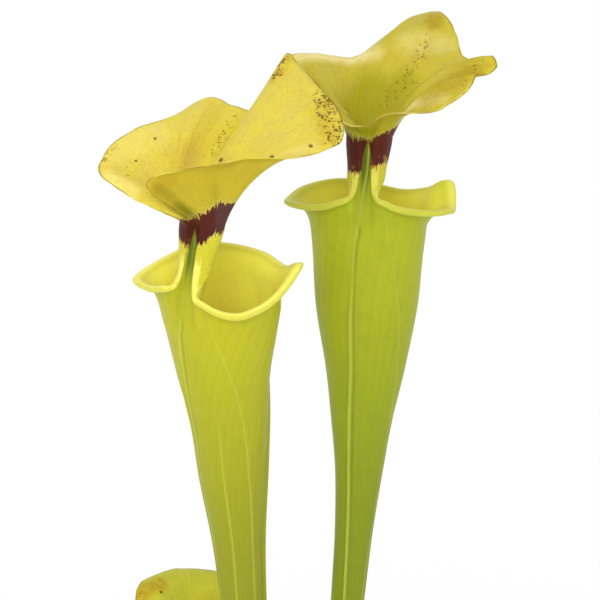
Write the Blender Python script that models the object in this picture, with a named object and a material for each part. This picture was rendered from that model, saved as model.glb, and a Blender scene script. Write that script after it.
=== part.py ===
"""A yellow pitcher plant: two tall pitchers and a short one, growing from a rootstock in a plain pot.

All lengths below are in millimetres. +Z is up, +X is right and +Y points away from whoever looks at the back
of the tall pitchers. The origin is the middle of the pot's underside.
"""

import math

import bpy
import numpy as np

MM = 0.001
GAP = 0.3

# Pot and what fills it
POT_HEIGHT = 120.0
POT_TOP_RADIUS = 68.0
POT_FOOT_RADIUS = 50.0
POT_WALL = 2.2
POT_FLOOR = 2.6
RIM_HEIGHT = 16.0
RIM_STAND = 2.6
EDGE_ROUND = 0.8
DRAIN_RADIUS = 5.0
DRAIN_CIRCLE = 30.0
DRAINS = 5
DRAIN_TURN = 0.27
SOIL_LEVEL = 108.0
SOIL_RELIEF = 0.8
SOIL_EDGE = 12.0
SOIL_RINGS = 9
POT_SIDES = 48

# Rootstock, lying along X with its back above the soil
ROOT_CENTRE = (-1.0, 2.0, 105.0)
ROOT_HALF_LENGTH = 33.0
ROOT_HALF_WIDTH = 12.5
ROOT_HALF_HEIGHT = 10.5
ROOT_RINGS = 9
ROOT_RING_DEPTH = 0.9
ROOT_BEND = 2.5
ROOT_TAPER = 2.6
ROOT_SECTIONS = 26
ROOT_SIDES = 20
SOCKET_REACH = 15.0
SOCKET_SIDES = 32

# Leaf wall, with a raised rib behind, a wing in front and soft folds between
WALL = 1.0
LID_WALL = 0.9
MIDRIB_HEIGHT = 0.7
FRONT_WING_HEIGHT = 1.8
RIB_ANGLE = 5.0
FOLDS = 3
FOLD_DEPTH = 0.012
FOLD_TURN = 0.6
RELIEF_START = 0.03
RELIEF_FADE = 0.1
HOLLOW_FLOOR = 0.12
WINDOW_ANGLE = 11.0

# Rolled lip: it leaves the wall below the mouth, sweeps out and droops, and thins out to its furthest tips
FLARE_START = 13.0
LIP_ROLL = 1.9
LIP_DROOP = 2.4
LIP_SWEEP = 0.1
LIP_RISE = 0.6
LIP_ROUND = 0.4
LIP_INSET = 0.8
LIP_SWELL = 4
LIP_THIN_FROM = 33.0
LIP_THIN_SPAN = 10.0
LIP_THINNING = 0.055

# Neck of a tall pitcher
NECK_HALF_WIDTH = 9.6
NECK_HALF_DEPTH = 7.0
THROAT_HALF_DEPTH = 7.6
GROOVE_DEPTH = 2.0
GROOVE_FOOT_HALF_WIDTH = 3.4
GROOVE_TOP_HALF_WIDTH = 1.7
GROOVE_NARROWING = 1.4
GROOVE_DEEPENING = 2.5
FLAP_EDGE_ANGLE = 15.0
FLAP_EDGE_SPREAD = 0.35
NECK_FRONT_ANGLE = 150.0
NECK_FLARE_FROM = 0.45
NECK_CROWDING = 1.3
NECK_LIFT = 0.5
FLAP_BLEND = 0.2
FRONT_BLEND = 0.6
BLEND_ROUNDING = 1.3

# How each strand of the lid runs from the throat to its edge
LID_REACH = 0.36
LID_LIFT = 0.9
LID_LEAN = 0.35
LID_OVERHANG = 0.38
LID_SLACK = 0.05
FUNNEL_DEPTH = 0.27
FUNNEL_EASE = 0.8

# How finely each leaf is divided
WINDOW_CELLS = 4
RING_CELLS = 28
TUBE_ROWS = 10
HOLLOW_ROWS = 6
LIP_SIDE_ROWS = 3
LIP_EDGE_ROWS = 2
LIP_TOP_ROWS = 8
NECK_ROWS = 5
LID_ROWS = 7
FUNNEL_ROWS = 2
RELAX_ROUNDS = 3
RELAX_RADIUS = 17.0
RELAX_HEIGHT = 4.0
RELAX_CORE = 1.6
RELAX_STRENGTH = 0.6

# Tube stations: x, y, z of the axis, the tube's radius, and how far its back rib stands round from the near
# side, in degrees
LEFT_TUBE = (
    (-15.0, 0.5, 101.0, 4.6, -95.0),
    (-15.5, 0.5, 112.0, 4.8, -95.0),
    (-18.5, -3.0, 160.0, 6.4, -95.0),
    (-22.0, -6.0, 210.0, 8.8, -94.0),
    (-27.0, -8.0, 262.0, 10.5, -93.0),
    (-29.2, -9.0, 292.0, 12.4, -92.0),
    (-31.5, -11.0, 324.0, 16.1, -88.0),
    (-33.6, -15.0, 357.0, 20.0, -77.0),
    (-36.2, -21.0, 386.0, 24.6, -58.0),
    (-36.7, -26.5, 407.0, 28.0, -45.0),
    (-37.3, -30.0, 419.0, 30.2, -38.0),
    (-38.4, -34.0, 432.0, 31.0, -34.0),
)
RIGHT_TUBE = (
    (14.0, 3.5, 101.0, 4.6, -8.0),
    (14.5, 3.5, 112.0, 4.8, -8.0),
    (18.0, 5.0, 160.0, 5.8, -9.0),
    (22.0, 6.5, 210.0, 7.0, -12.0),
    (26.4, 8.0, 260.0, 8.6, -16.0),
    (29.2, 8.5, 293.0, 9.7, -22.0),
    (31.9, 9.5, 328.0, 12.6, -26.0),
    (33.0, 10.0, 352.0, 15.8, -25.0),
    (34.6, 11.0, 377.0, 20.1, -22.0),
    (35.2, 11.5, 409.0, 25.7, -18.0),
    (35.8, 12.0, 438.0, 28.0, -11.0),
    (36.5, 12.0, 463.0, 31.0, -7.0),
)
SMALL_TUBE = (
    (-1.0, 7.5, 101.0, 3.4, 30.0),
    (-2.3, 7.9, 112.0, 3.6, 28.0),
    (-12.2, 12.6, 140.0, 5.8, 24.0),
    (-24.6, 19.0, 168.0, 10.2, 19.0),
    (-38.0, 24.5, 195.0, 16.0, 15.0),
    (-45.0, 27.0, 213.0, 18.6, 14.0),
)

# Mouth rims: degrees round from the back rib, reach from the axis, height over the mouth's middle
LEFT_LIP = (
    (-180.0, 37.0, -5.0),
    (-152.0, 35.0, -1.5),
    (-127.0, 34.5, 0.5),
    (-102.0, 38.5, -2.5),
    (-82.0, 42.0, -3.5),
    (-64.0, 42.0, -1.5),
    (-45.0, 36.0, 1.0),
    (-30.0, 34.0, 4.0),
    (-18.0, 33.0, 7.0),
    (18.0, 32.0, 3.5),
    (34.0, 33.0, -2.0),
    (50.0, 33.0, -5.5),
    (68.0, 33.0, -5.5),
    (88.0, 34.5, -3.5),
    (108.0, 37.5, 0.5),
    (122.0, 41.5, 4.0),
    (132.0, 41.0, 1.0),
    (148.0, 37.5, -6.0),
)
RIGHT_LIP = (
    (-180.0, 36.0, -0.8),
    (-150.0, 37.0, 2.0),
    (-120.0, 41.5, -0.5),
    (-100.0, 42.0, -3.5),
    (-75.0, 40.5, -3.0),
    (-45.0, 34.5, -1.5),
    (-30.0, 33.5, 0.5),
    (-18.0, 33.0, 3.5),
    (18.0, 32.0, 3.5),
    (30.0, 32.5, 0.5),
    (45.0, 34.0, -1.5),
    (75.0, 41.5, -3.5),
    (100.0, 43.0, -3.0),
    (116.0, 44.0, 6.5),
    (132.0, 40.0, 1.5),
    (152.0, 36.0, -2.0),
)

# Lid margins: x, y, z from the throat's middle, then how far the blade arches over its edge.
# They run from the notch behind the neck round the right lobe, the tip and the left lobe, back to the notch.
LEFT_LID = (
    (-6.0, -9.0, 3.5, 0.0),
    (-13.0, -14.0, 9.5, 0.0),
    (-21.0, -18.0, 16.5, 0.0),
    (-26.0, -19.5, 22.0, 0.5),
    (-19.0, -20.5, 27.0, 1.0),
    (-6.5, -20.5, 29.5, 1.0),
    (10.0, -19.0, 32.0, 1.0),
    (26.0, -15.5, 34.0, 1.5),
    (43.0, -9.0, 32.8, 2.0),
    (61.0, 1.0, 35.3, 3.0),
    (69.5, 8.0, 40.0, 3.0),
    (67.5, 24.0, 51.0, -2.0),
    (58.5, 38.0, 60.0, -12.0),
    (47.5, 50.0, 70.0, -21.0),
    (42.5, 55.0, 74.0, -33.0),
    (37.8, 53.5, 64.5, -33.0),
    (30.0, 51.0, 46.5, -20.0),
    (15.5, 49.0, 48.5, -6.0),
    (4.0, 45.0, 53.8, -2.0),
    (-14.0, 38.0, 45.8, -2.0),
    (-32.0, 29.0, 40.8, -4.0),
    (-44.0, 18.0, 34.3, -6.5),
    (-48.6, 7.0, 28.6, -4.5),
    (-48.5, -1.5, 23.0, -1.0),
    (-37.0, -7.0, 15.5, 2.0),
    (-27.5, -10.5, 11.0, 1.0),
    (-18.0, -12.0, 7.0, 0.5),
    (-10.5, -11.0, 3.0, 0.0),
)
RIGHT_LID = (
    (0.5, -15.5, 8.0, 0.0),
    (4.5, -18.0, 11.0, 0.0),
    (9.5, -19.5, 14.0, 0.0),
    (16.5, -20.0, 14.5, 0.5),
    (26.0, -18.5, 14.0, 1.0),
    (35.0, -16.0, 16.0, 0.0),
    (43.0, -12.0, 20.3, 0.0),
    (49.5, -7.0, 25.0, 0.0),
    (53.0, -2.0, 30.5, 0.0),
    (57.5, 3.0, 31.0, -2.0),
    (61.5, 7.0, 34.0, 0.0),
    (59.0, 10.0, 36.0, 0.0),
    (53.0, 12.0, 35.0, -4.0),
    (46.5, 20.0, 37.0, 0.0),
    (43.6, 36.0, 45.5, -2.0),
    (38.8, 48.0, 52.5, -3.0),
    (32.0, 56.0, 53.6, -3.0),
    (22.0, 54.0, 51.0, -4.0),
    (12.5, 48.0, 45.0, -4.0),
    (0.5, 40.0, 37.0, 1.0),
    (-8.0, 35.0, 33.5, 2.0),
    (-20.0, 33.0, 35.0, 4.0),
    (-34.0, 31.0, 36.0, 4.0),
    (-41.0, 24.0, 34.0, 3.0),
    (-40.0, 13.0, 27.5, 2.0),
    (-32.0, 2.0, 19.0, 2.0),
    (-22.0, -7.5, 13.0, 1.0),
    (-12.0, -14.5, 8.0, 0.5),
    (-6.0, -16.5, 7.5, 0.0),
    (-2.5, -15.5, 7.0, 0.0),
)
SMALL_LID = (
    (-0.5, -6.0, 3.0, 0.0),
    (1.5, -9.0, 5.5, 0.0),
    (6.0, -12.0, 8.0, 0.3),
    (13.0, -12.5, 11.0, 0.5),
    (21.0, -9.0, 13.0, 1.0),
    (28.0, -2.0, 16.0, 1.5),
    (31.0, 7.0, 18.0, 2.0),
    (29.0, 16.0, 22.0, 2.0),
    (22.0, 24.0, 23.5, 1.5),
    (13.0, 30.0, 25.5, 0.0),
    (3.0, 33.0, 25.8, -2.0),
    (-7.0, 31.0, 27.5, -2.0),
    (-16.0, 26.0, 28.5, -1.0),
    (-25.5, 18.0, 27.5, 0.0),
    (-33.5, 9.0, 25.0, 0.0),
    (-35.0, 1.0, 17.5, 0.0),
    (-29.0, -6.0, 11.0, 1.0),
    (-21.0, -10.0, 9.0, 0.6),
    (-12.0, -11.5, 7.0, 0.4),
    (-5.0, -10.0, 5.0, 0.0),
    (-2.0, -6.5, 3.0, 0.0),
)

PITCHERS = {
    "pitcher_left": {
        "tube": LEFT_TUBE,
        "lip": LEFT_LIP,
        "lid": LEFT_LID,
        "throat": (-46.5, -53.0, 463.5),
        "neck_shift": 1.2,
        "throat_half_width": 12.6,
        "scale": 1.0,
    },
    "pitcher_right": {
        "tube": RIGHT_TUBE,
        "lip": RIGHT_LIP,
        "lid": RIGHT_LID,
        "throat": (36.5, -1.5, 497.0),
        "neck_shift": 0.0,
        "throat_half_width": 11.6,
        "scale": 1.0,
    },
    "pitcher_small": {
        "tube": SMALL_TUBE,
        "lip": RIGHT_LIP,
        "lid": SMALL_LID,
        "throat": (-47.0, 19.5, 233.0),
        "neck_shift": 0.0,
        "throat_half_width": 11.6,
        "scale": 0.6,
    },
}

COLOURS = {
    "leaf_yellow_green": ((0.50, 0.50, 0.045), 0.45),
    "root_brown": ((0.14, 0.06, 0.03), 0.8),
    "peat_brown": ((0.035, 0.02, 0.012), 0.95),
    "pot_grey": ((0.05, 0.052, 0.05), 0.5),
}


def clear_scene():
    for thing in list(bpy.data.objects):
        bpy.data.objects.remove(thing, do_unlink=True)


def material(name):
    made = bpy.data.materials.get(name) or bpy.data.materials.new(name)
    made.use_nodes = True
    colour, roughness = COLOURS[name]
    shader = made.node_tree.nodes["Principled BSDF"]
    shader.inputs["Base Color"].default_value = (*colour, 1.0)
    shader.inputs["Roughness"].default_value = roughness
    shader.inputs["Metallic"].default_value = 0.0
    return made


def make_object(name, points, faces, finish):
    """One object from points in millimetres."""
    mesh = bpy.data.meshes.new(name)
    mesh.from_pydata([tuple(c * MM for c in point) for point in points], [], faces)
    mesh.validate()
    mesh.shade_smooth()
    mesh.materials.append(material(finish))
    made = bpy.data.objects.new(name, mesh)
    bpy.context.scene.collection.objects.link(made)
    return made


def smooth_step(value):
    value = np.clip(value, 0.0, 1.0)
    return value * value * (3.0 - 2.0 * value)


def curve_at(knots, values, where, period=None):
    """Reads a smooth curve through values at knots; a period makes it close on itself."""
    knots = np.asarray(knots, float)
    values = np.asarray(values, float)
    if period:
        knots = np.concatenate([knots[-2:] - period, knots, knots[:2] + period])
        values = np.concatenate([values[-2:], values, values[:2]])
        where = knots[2] + (np.asarray(where, float) - knots[2]) % period
    where = np.asarray(where, float)
    slopes = np.gradient(values, knots, axis=0)
    index = np.clip(np.searchsorted(knots, where, side="right") - 1, 0, len(knots) - 2)
    step = knots[index + 1] - knots[index]
    t = ((where - knots[index]) / step)[..., None]
    step = step[..., None]
    flat = values.ndim == 1
    if flat:
        values = values[:, None]
        slopes = slopes[:, None]
    near, far = values[index], values[index + 1]
    near_slope, far_slope = slopes[index] * step, slopes[index + 1] * step
    result = (
        (2 * t**3 - 3 * t**2 + 1) * near
        + (t**3 - 2 * t**2 + t) * near_slope
        + (3 * t**2 - 2 * t**3) * far
        + (t**3 - t**2) * far_slope
    )
    return result[..., 0] if flat else result


def bezier(p0, p1, p2, p3, t):
    return (1 - t) ** 3 * p0 + 3 * (1 - t) ** 2 * t * p1 + 3 * (1 - t) * t**2 * p2 + t**3 * p3


def unit(vectors):
    length = np.linalg.norm(vectors, axis=-1, keepdims=True)
    return vectors / np.maximum(length, 1e-9)


def ring_frame(tangent):
    """Unit vectors to the right, away and up of a ring square to the tube."""
    up = unit(np.asarray(tangent, float))
    right = unit(np.array([1.0, 0.0, 0.0]) - up[0] * up)
    return right, np.cross(up, right), up


class Tube:
    """The tube's axis, radius and twist, read by height."""

    def __init__(self, spec):
        stations = np.array(spec["tube"])
        self.heights = stations[:, 2]
        self.stations = stations
        self.foot, self.top = self.heights[0], self.heights[-1]

    def at(self, height):
        x, y, z, radius, turn = curve_at(self.heights, self.stations, height)
        ahead = curve_at(self.heights, self.stations, min(height + 1.0, self.top))
        behind = curve_at(self.heights, self.stations, max(height - 1.0, self.foot))
        return np.array([x, y, z]), ring_frame((ahead - behind)[:3]), radius, math.radians(turn)

    def ring(self, height, angles, inset=0.0):
        """Points round the wall; angles run from the back rib, and inset moves them inwards."""
        centre, (right, away, up), radius, turn = self.at(height)
        share = (height - self.foot) / (self.top - self.foot)
        fade = 0.0 if inset else smooth_step((share - RELIEF_START) / RELIEF_FADE)
        radii = radius - inset + fade * wall_relief(angles, radius)
        around = right * np.sin(angles + turn)[:, None] - away * np.cos(angles + turn)[:, None]
        return centre + around * radii[:, None]


def wall_relief(angles, radius):
    """The raised back rib, the front wing and the soft folds."""
    back = np.exp(-((np.degrees(angles) / RIB_ANGLE) ** 2))
    front_angle = (np.degrees(angles) % 360.0) - 180.0
    front = np.exp(-((front_angle / RIB_ANGLE) ** 2))
    folds = FOLD_DEPTH * radius * np.cos(FOLDS * angles + FOLD_TURN)
    return MIDRIB_HEIGHT * back + FRONT_WING_HEIGHT * front + folds


def column_angles(window_cells, ring_cells):
    """Angles round the tube: even cells across the window behind, and even cells round the rest."""
    half = math.radians(WINDOW_ANGLE)
    window = np.linspace(-half, half, window_cells + 1)
    rest = np.linspace(half, 2 * math.pi - half, ring_cells - window_cells + 1)[1:-1]
    return np.concatenate([window, rest])


def lip_rows(spec, tube, angles, rows):
    """Rings over the lip, from the wall under it, round its edge and back down inside."""
    side_rows, edge_rows, top_rows = rows
    scale = spec["scale"]
    lip = np.array(spec["lip"])
    degrees = np.degrees(angles)
    reach = curve_at(lip[:, 0], lip[:, 1], degrees, 360.0) * scale
    height = curve_at(lip[:, 0], lip[:, 2], degrees, 360.0) * scale
    drop = FLARE_START * scale
    base = tube.top - drop
    centre, (right, away, up), _, turn = tube.at(tube.top)
    around = right * np.sin(angles + turn)[:, None] - away * np.cos(angles + turn)[:, None]
    foot = tube.ring(base, angles, WALL / 2)
    foot_out = np.sum((foot - centre) * around, axis=1)
    foot_up = (foot - centre) @ up
    start = np.stack([foot_out, foot_up], axis=1)
    end = np.stack([reach, height], axis=1)
    rise = end[:, 1] - start[:, 1]
    spread = end[:, 0] - start[:, 0]
    droop = np.full_like(rise, LIP_DROOP * scale)
    first = start + np.stack([LIP_SWEEP * spread, LIP_RISE * rise], axis=1)
    second = end + np.stack([-LIP_ROUND * spread - LIP_INSET * scale, droop], axis=1)
    thinning = LIP_THINNING * np.clip(reach / scale - LIP_THIN_FROM, 0.0, LIP_THIN_SPAN)
    roll = LIP_ROLL * math.sqrt(scale) * (1.0 - thinning)

    def middle(t):
        return bezier(start, first, second, end, t)

    def lay(flat, row_base):
        return row_base + around * flat[:, :1] + up * flat[:, 1:]

    def side(t):
        ahead, behind = middle(min(t + 0.02, 1.0)), middle(max(t - 0.02, 0.0))
        along = unit(ahead - behind)
        outward = np.stack([along[:, 1], -along[:, 0]], axis=1)
        half = WALL / 2 + (roll[:, None] - WALL / 2) * t**LIP_SWELL
        return middle(t), along, outward, half

    rings = []
    for step in range(side_rows + 1):
        flat, along, outward, half = side(step / side_rows)
        rings.append(lay(flat + outward * half, centre))
    flat, along, outward, half = side(1.0)
    for step in range(1, edge_rows):
        bend = math.pi * step / edge_rows
        rings.append(lay(flat + outward * half * math.cos(bend) + along * half * math.sin(bend), centre))
    for step in range(top_rows + 1):
        flat, along, outward, half = side(1.0 - step / top_rows)
        rings.append(lay(flat - outward * half, centre))
    return rings


def neck_ring(spec, share, parts, lean_frame):
    """Points round the neck: a groove behind with the green strip in it, the rolled flaps and the front."""
    strip_cells, side_cells, edge_cell = parts
    scale = spec["scale"]
    right, away, _ = lean_frame
    flare = smooth_step((share - NECK_FLARE_FROM) / (1.0 - NECK_FLARE_FROM))
    half_width = (NECK_HALF_WIDTH + (spec["throat_half_width"] - NECK_HALF_WIDTH) * flare) * scale
    half_depth = (NECK_HALF_DEPTH + (THROAT_HALF_DEPTH - NECK_HALF_DEPTH) * flare) * scale
    narrowing = smooth_step(share * GROOVE_NARROWING)
    groove = GROOVE_FOOT_HALF_WIDTH + (GROOVE_TOP_HALF_WIDTH - GROOVE_FOOT_HALF_WIDTH) * narrowing
    groove *= scale
    edge_angle = math.radians(FLAP_EDGE_ANGLE) + math.asin(groove / half_width) * FLAP_EDGE_SPREAD
    front_angle = math.radians(NECK_FRONT_ANGLE)
    strip_back = half_depth - GROOVE_DEPTH * scale * smooth_step(share * GROOVE_DEEPENING)

    def on_oval(angle):
        return np.array([half_width * math.sin(angle), -half_depth * math.cos(angle)])

    strip = []
    for cell in range(strip_cells + 1):
        across = 2.0 * cell / strip_cells - 1.0
        rib = MIDRIB_HEIGHT * scale * (1.0 - abs(across)) ** 2
        strip.append(np.array([across * groove, -strip_back - rib]))
    edge = on_oval(edge_angle)
    side = []
    for cell in range(1, side_cells):
        if cell <= edge_cell:
            side.append(strip[-1] + (edge - strip[-1]) * cell / edge_cell)
        else:
            share_round = (cell - edge_cell) / (side_cells - edge_cell)
            side.append(on_oval(edge_angle + (front_angle - edge_angle) * share_round))
    front_step = 2.0 * (math.pi - front_angle) / strip_cells
    front = [on_oval(front_angle + front_step * cell) for cell in range(strip_cells + 1)]
    mirrored = [np.array([-p[0], p[1]]) for p in reversed(side)]
    flat = np.array(strip + side + front + mirrored)
    return right * (flat[:, :1] + spec["neck_shift"] * share) + away * flat[:, 1:]


def neck_blend_span(parts, columns):
    """How far up the neck each column takes to leave the lip: soon by the groove, later in front."""
    strip_cells, side_cells, edge_cell = parts
    column = np.arange(columns)
    past_edge = np.minimum(column - strip_cells, columns - column) - edge_cell
    share_round = np.clip(past_edge / (side_cells - edge_cell), 0.0, 1.0)
    return FLAP_BLEND + (FRONT_BLEND - FLAP_BLEND) * smooth_step(share_round * BLEND_ROUNDING)


def relax(points, faces, near, radius, rounds):
    """Evens out the points close to a place, so that the neck flows into the lip."""
    reach = np.linalg.norm(points - near, axis=1)
    weight = np.clip(RELAX_CORE * (1.0 - reach / radius), 0.0, RELAX_STRENGTH)[:, None]
    edges = np.array([(a, b) for face in faces for a, b in zip(face, face[1:] + face[:1])])
    for _ in range(rounds):
        total = np.zeros_like(points)
        count = np.zeros(len(points))
        np.add.at(total, edges[:, 0], points[edges[:, 1]])
        np.add.at(count, edges[:, 0], 1)
        mean = total / np.maximum(count, 1)[:, None]
        points = points + (mean - points) * weight
    return points


def grid_normals(grid):
    """Unit normals of a grid of points that closes on itself along its second axis."""
    down = np.gradient(grid, axis=0)
    across = np.roll(grid, -1, axis=1) - np.roll(grid, 1, axis=1)
    return unit(np.cross(across, down))


def lid_margin(spec, strip_cells, columns):
    """The lid's edge for each column of the neck, in order from the left end of the groove's strip."""
    table = np.array(spec["lid"])
    lobes = columns - (strip_cells + 1)
    where = np.linspace(0.0, len(table) - 1.0, lobes + 2)[1:-1]
    edge = curve_at(np.arange(len(table)), table, where)
    ends = np.array([table[-1], table[0]])
    share = np.linspace(0.0, 1.0, strip_cells + 1)[:, None]
    strip = ends[0] + (ends[1] - ends[0]) * share
    return np.concatenate([strip, edge])


def pitcher_shape(spec, cells, rows):
    """Points and triangles of one whole leaf: tube, lip, neck and lid in one closed skin."""
    window_cells, ring_cells = cells
    tube_rows, hollow_rows, lip_parts, neck_rows, lid_rows, funnel_rows = rows
    scale = spec["scale"]
    tube = Tube(spec)
    angles = column_angles(window_cells, ring_cells)
    base = tube.top - FLARE_START * scale
    hollow_floor = tube.foot + HOLLOW_FLOOR * (tube.top - tube.foot)

    outer = [tube.ring(h, angles) for h in np.linspace(tube.foot, base, tube_rows + 1)[:-1]]
    lip = lip_rows(spec, tube, angles, lip_parts)
    inner = [tube.ring(h, angles, WALL) for h in np.linspace(base, hollow_floor, hollow_rows + 1)[1:]]
    rings = np.array(outer + lip + inner)
    first_lip, last_lip = len(outer), len(outer) + len(lip) - 1
    return_row = first_lip + lip_parts[0] + lip_parts[1] // 2

    columns = len(angles)
    points = [p for ring in rings for p in ring]
    faces = []

    def index(row, column):
        return row * columns + column % columns

    def add_cell(a, b, c, d, turned):
        faces.extend([(a, b, d), (b, c, d)] if turned else [(a, b, c), (a, c, d)])

    for row in range(len(rings) - 1):
        for column in range(columns):
            if first_lip <= row < last_lip and column < window_cells:
                continue
            low = index(row, column), index(row, column + 1)
            high = index(row + 1, column + 1), index(row + 1, column)
            add_cell(*low, *high, row >= return_row)

    foot_centre = len(points)
    points.append(tube.at(tube.foot)[0])
    hollow_centre = len(points)
    points.append(tube.at(hollow_floor)[0])
    last_row = len(rings) - 1
    for column in range(columns):
        faces.append((index(0, column + 1), index(0, column), foot_centre))
        faces.append((index(last_row, column), index(last_row, column + 1), hollow_centre))

    loop = [index(first_lip, c) for c in range(window_cells + 1)]
    loop += [index(r, window_cells) for r in range(first_lip + 1, last_lip + 1)]
    loop += [index(last_lip, c) for c in range(window_cells - 1, -1, -1)]
    loop += [index(r, 0) for r in range(last_lip - 1, first_lip, -1)]
    loop_points = np.array([points[i] for i in loop])

    mouth, (right, away, up), mouth_radius, turn = tube.at(tube.top)
    neck_right = right * math.cos(turn) + away * math.sin(turn)
    neck_away = away * math.cos(turn) - right * math.sin(turn)
    throat = np.array(spec["throat"])
    neck_foot = mouth - neck_away * (mouth_radius - NECK_HALF_DEPTH * scale)
    neck_frame = (neck_right, neck_away, up)
    side_cells = last_lip - first_lip
    parts = (window_cells, side_cells, lip_parts[0] + lip_parts[1] // 2)
    slow = neck_blend_span(parts, len(loop))
    neck = []
    for step in range(1, neck_rows + 1):
        share = (step / neck_rows) ** NECK_CROWDING
        centre = neck_foot + (throat - neck_foot) * share
        target = centre + neck_ring(spec, share, parts, neck_frame)
        lifted = loop_points + (centre - neck_foot) * NECK_LIFT
        blend = smooth_step(share / slow)[:, None]
        neck.append(lifted + (target - lifted) * blend)

    throat_ring = neck[-1]
    margin = lid_margin(spec, window_cells, len(loop))
    edge = throat + margin[:, :3]
    arch = margin[:, 3:]
    outward = unit(throat_ring - throat)
    chord = edge - throat_ring
    length = np.linalg.norm(chord, axis=1, keepdims=True)
    inward = unit(np.concatenate([chord[:, :2], 0 * chord[:, 2:]], axis=1))
    first = throat_ring + (up * LID_LIFT + outward * LID_LEAN) * LID_REACH * length
    second = edge - inward * LID_OVERHANG * length + np.array([0.0, 0.0, 1.0]) * arch - chord * LID_SLACK
    under = np.array([bezier(throat_ring, first, second, edge, t) for t in np.linspace(0, 1, lid_rows + 1)])
    normals = grid_normals(np.concatenate([neck[-2:-1], under]))[1:]
    upper = under - normals * LID_WALL
    sheets = list(neck) + list(under[1:]) + list(upper[::-1])
    funnel_foot = throat - (throat - neck_foot) * FUNNEL_DEPTH
    for step in range(1, funnel_rows + 1):
        share = step / (funnel_rows + 1)
        sheets.append(funnel_foot + (upper[0] - funnel_foot) * (1.0 - share) ** FUNNEL_EASE)

    previous = loop
    count = len(loop)
    turning = len(neck) + lid_rows
    for number, sheet in enumerate(sheets):
        current = list(range(len(points), len(points) + count))
        points.extend(sheet)
        for w in range(count):
            corners = (previous[w], previous[(w + 1) % count], current[(w + 1) % count], current[w])
            add_cell(*corners, number >= turning)
        previous = current
    funnel_centre = len(points)
    points.append(funnel_foot)
    for w in range(count):
        faces.append((previous[w], previous[(w + 1) % count], funnel_centre))

    used = sorted({i for face in faces for i in face})
    renumber = {old: new for new, old in enumerate(used)}
    faces = [tuple(renumber[i] for i in face) for face in faces]
    points = np.array([points[i] for i in used])
    points = relax(points, faces, neck_foot + up * RELAX_HEIGHT, RELAX_RADIUS * scale, RELAX_ROUNDS)
    return points, faces


def build_pitcher(name):
    cells = (WINDOW_CELLS, RING_CELLS)
    lip_parts = (LIP_SIDE_ROWS, LIP_EDGE_ROWS, LIP_TOP_ROWS)
    rows = (TUBE_ROWS, HOLLOW_ROWS, lip_parts, NECK_ROWS, LID_ROWS, FUNNEL_ROWS)
    points, faces = pitcher_shape(PITCHERS[name], cells, rows)
    return make_object(name, points, faces, "leaf_yellow_green")


def lathe(name, profile, sides, finish):
    """Turns an outline round Z; the outline starts and ends on the axis and runs up the outside first."""
    points = [(0.0, 0.0, profile[0][1])]
    for radius, height in profile[1:-1]:
        for side in range(sides):
            angle = 2 * math.pi * side / sides
            points.append((radius * math.cos(angle), radius * math.sin(angle), height))
    points.append((0.0, 0.0, profile[-1][1]))
    faces = []
    rings = len(profile) - 2
    for side in range(sides):
        after = (side + 1) % sides
        faces.append((0, 1 + after, 1 + side))
        for ring in range(rings - 1):
            low, high = 1 + ring * sides, 1 + (ring + 1) * sides
            faces.append((low + side, low + after, high + after, high + side))
        last = 1 + (rings - 1) * sides
        faces.append((last + side, last + after, len(points) - 1))
    return make_object(name, points, faces, finish)


def pot_radius(height):
    """The pot's outer radius below the rim band."""
    return POT_FOOT_RADIUS + (POT_TOP_RADIUS - POT_FOOT_RADIUS) * height / POT_HEIGHT


def cut(target, cutters):
    """Takes the cutters out of the target and removes them."""
    for cutter in cutters:
        cutter.hide_render = True
        cutter.display_type = "WIRE"
        step = target.modifiers.new("cut", "BOOLEAN")
        step.operation = "DIFFERENCE"
        step.solver = "EXACT"
        step.object = cutter
        bpy.context.view_layer.update()
        graph = bpy.context.evaluated_depsgraph_get()
        cut_mesh = bpy.data.meshes.new_from_object(target.evaluated_get(graph))
        target.modifiers.clear()
        target.data = cut_mesh
        bpy.data.objects.remove(cutter, do_unlink=True)
    target.data.shade_smooth()
    target.data.set_sharp_from_angle(angle=math.radians(35.0))


def rod(name, start, end, start_radius, end_radius, sides=24):
    """A straight tapered rod between two points."""
    start, end = np.array(start, float), np.array(end, float)
    right, away, _ = ring_frame(end - start)
    points = []
    for centre, radius in ((start, start_radius), (end, end_radius)):
        for side in range(sides):
            angle = 2 * math.pi * side / sides
            points.append(centre + (right * math.cos(angle) + away * math.sin(angle)) * radius)
    faces = [tuple(range(sides - 1, -1, -1)), tuple(range(sides, 2 * sides))]
    for side in range(sides):
        after = (side + 1) % sides
        faces.append((side, after, sides + after, sides + side))
    return make_object(name, points, faces, "peat_brown")


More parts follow.
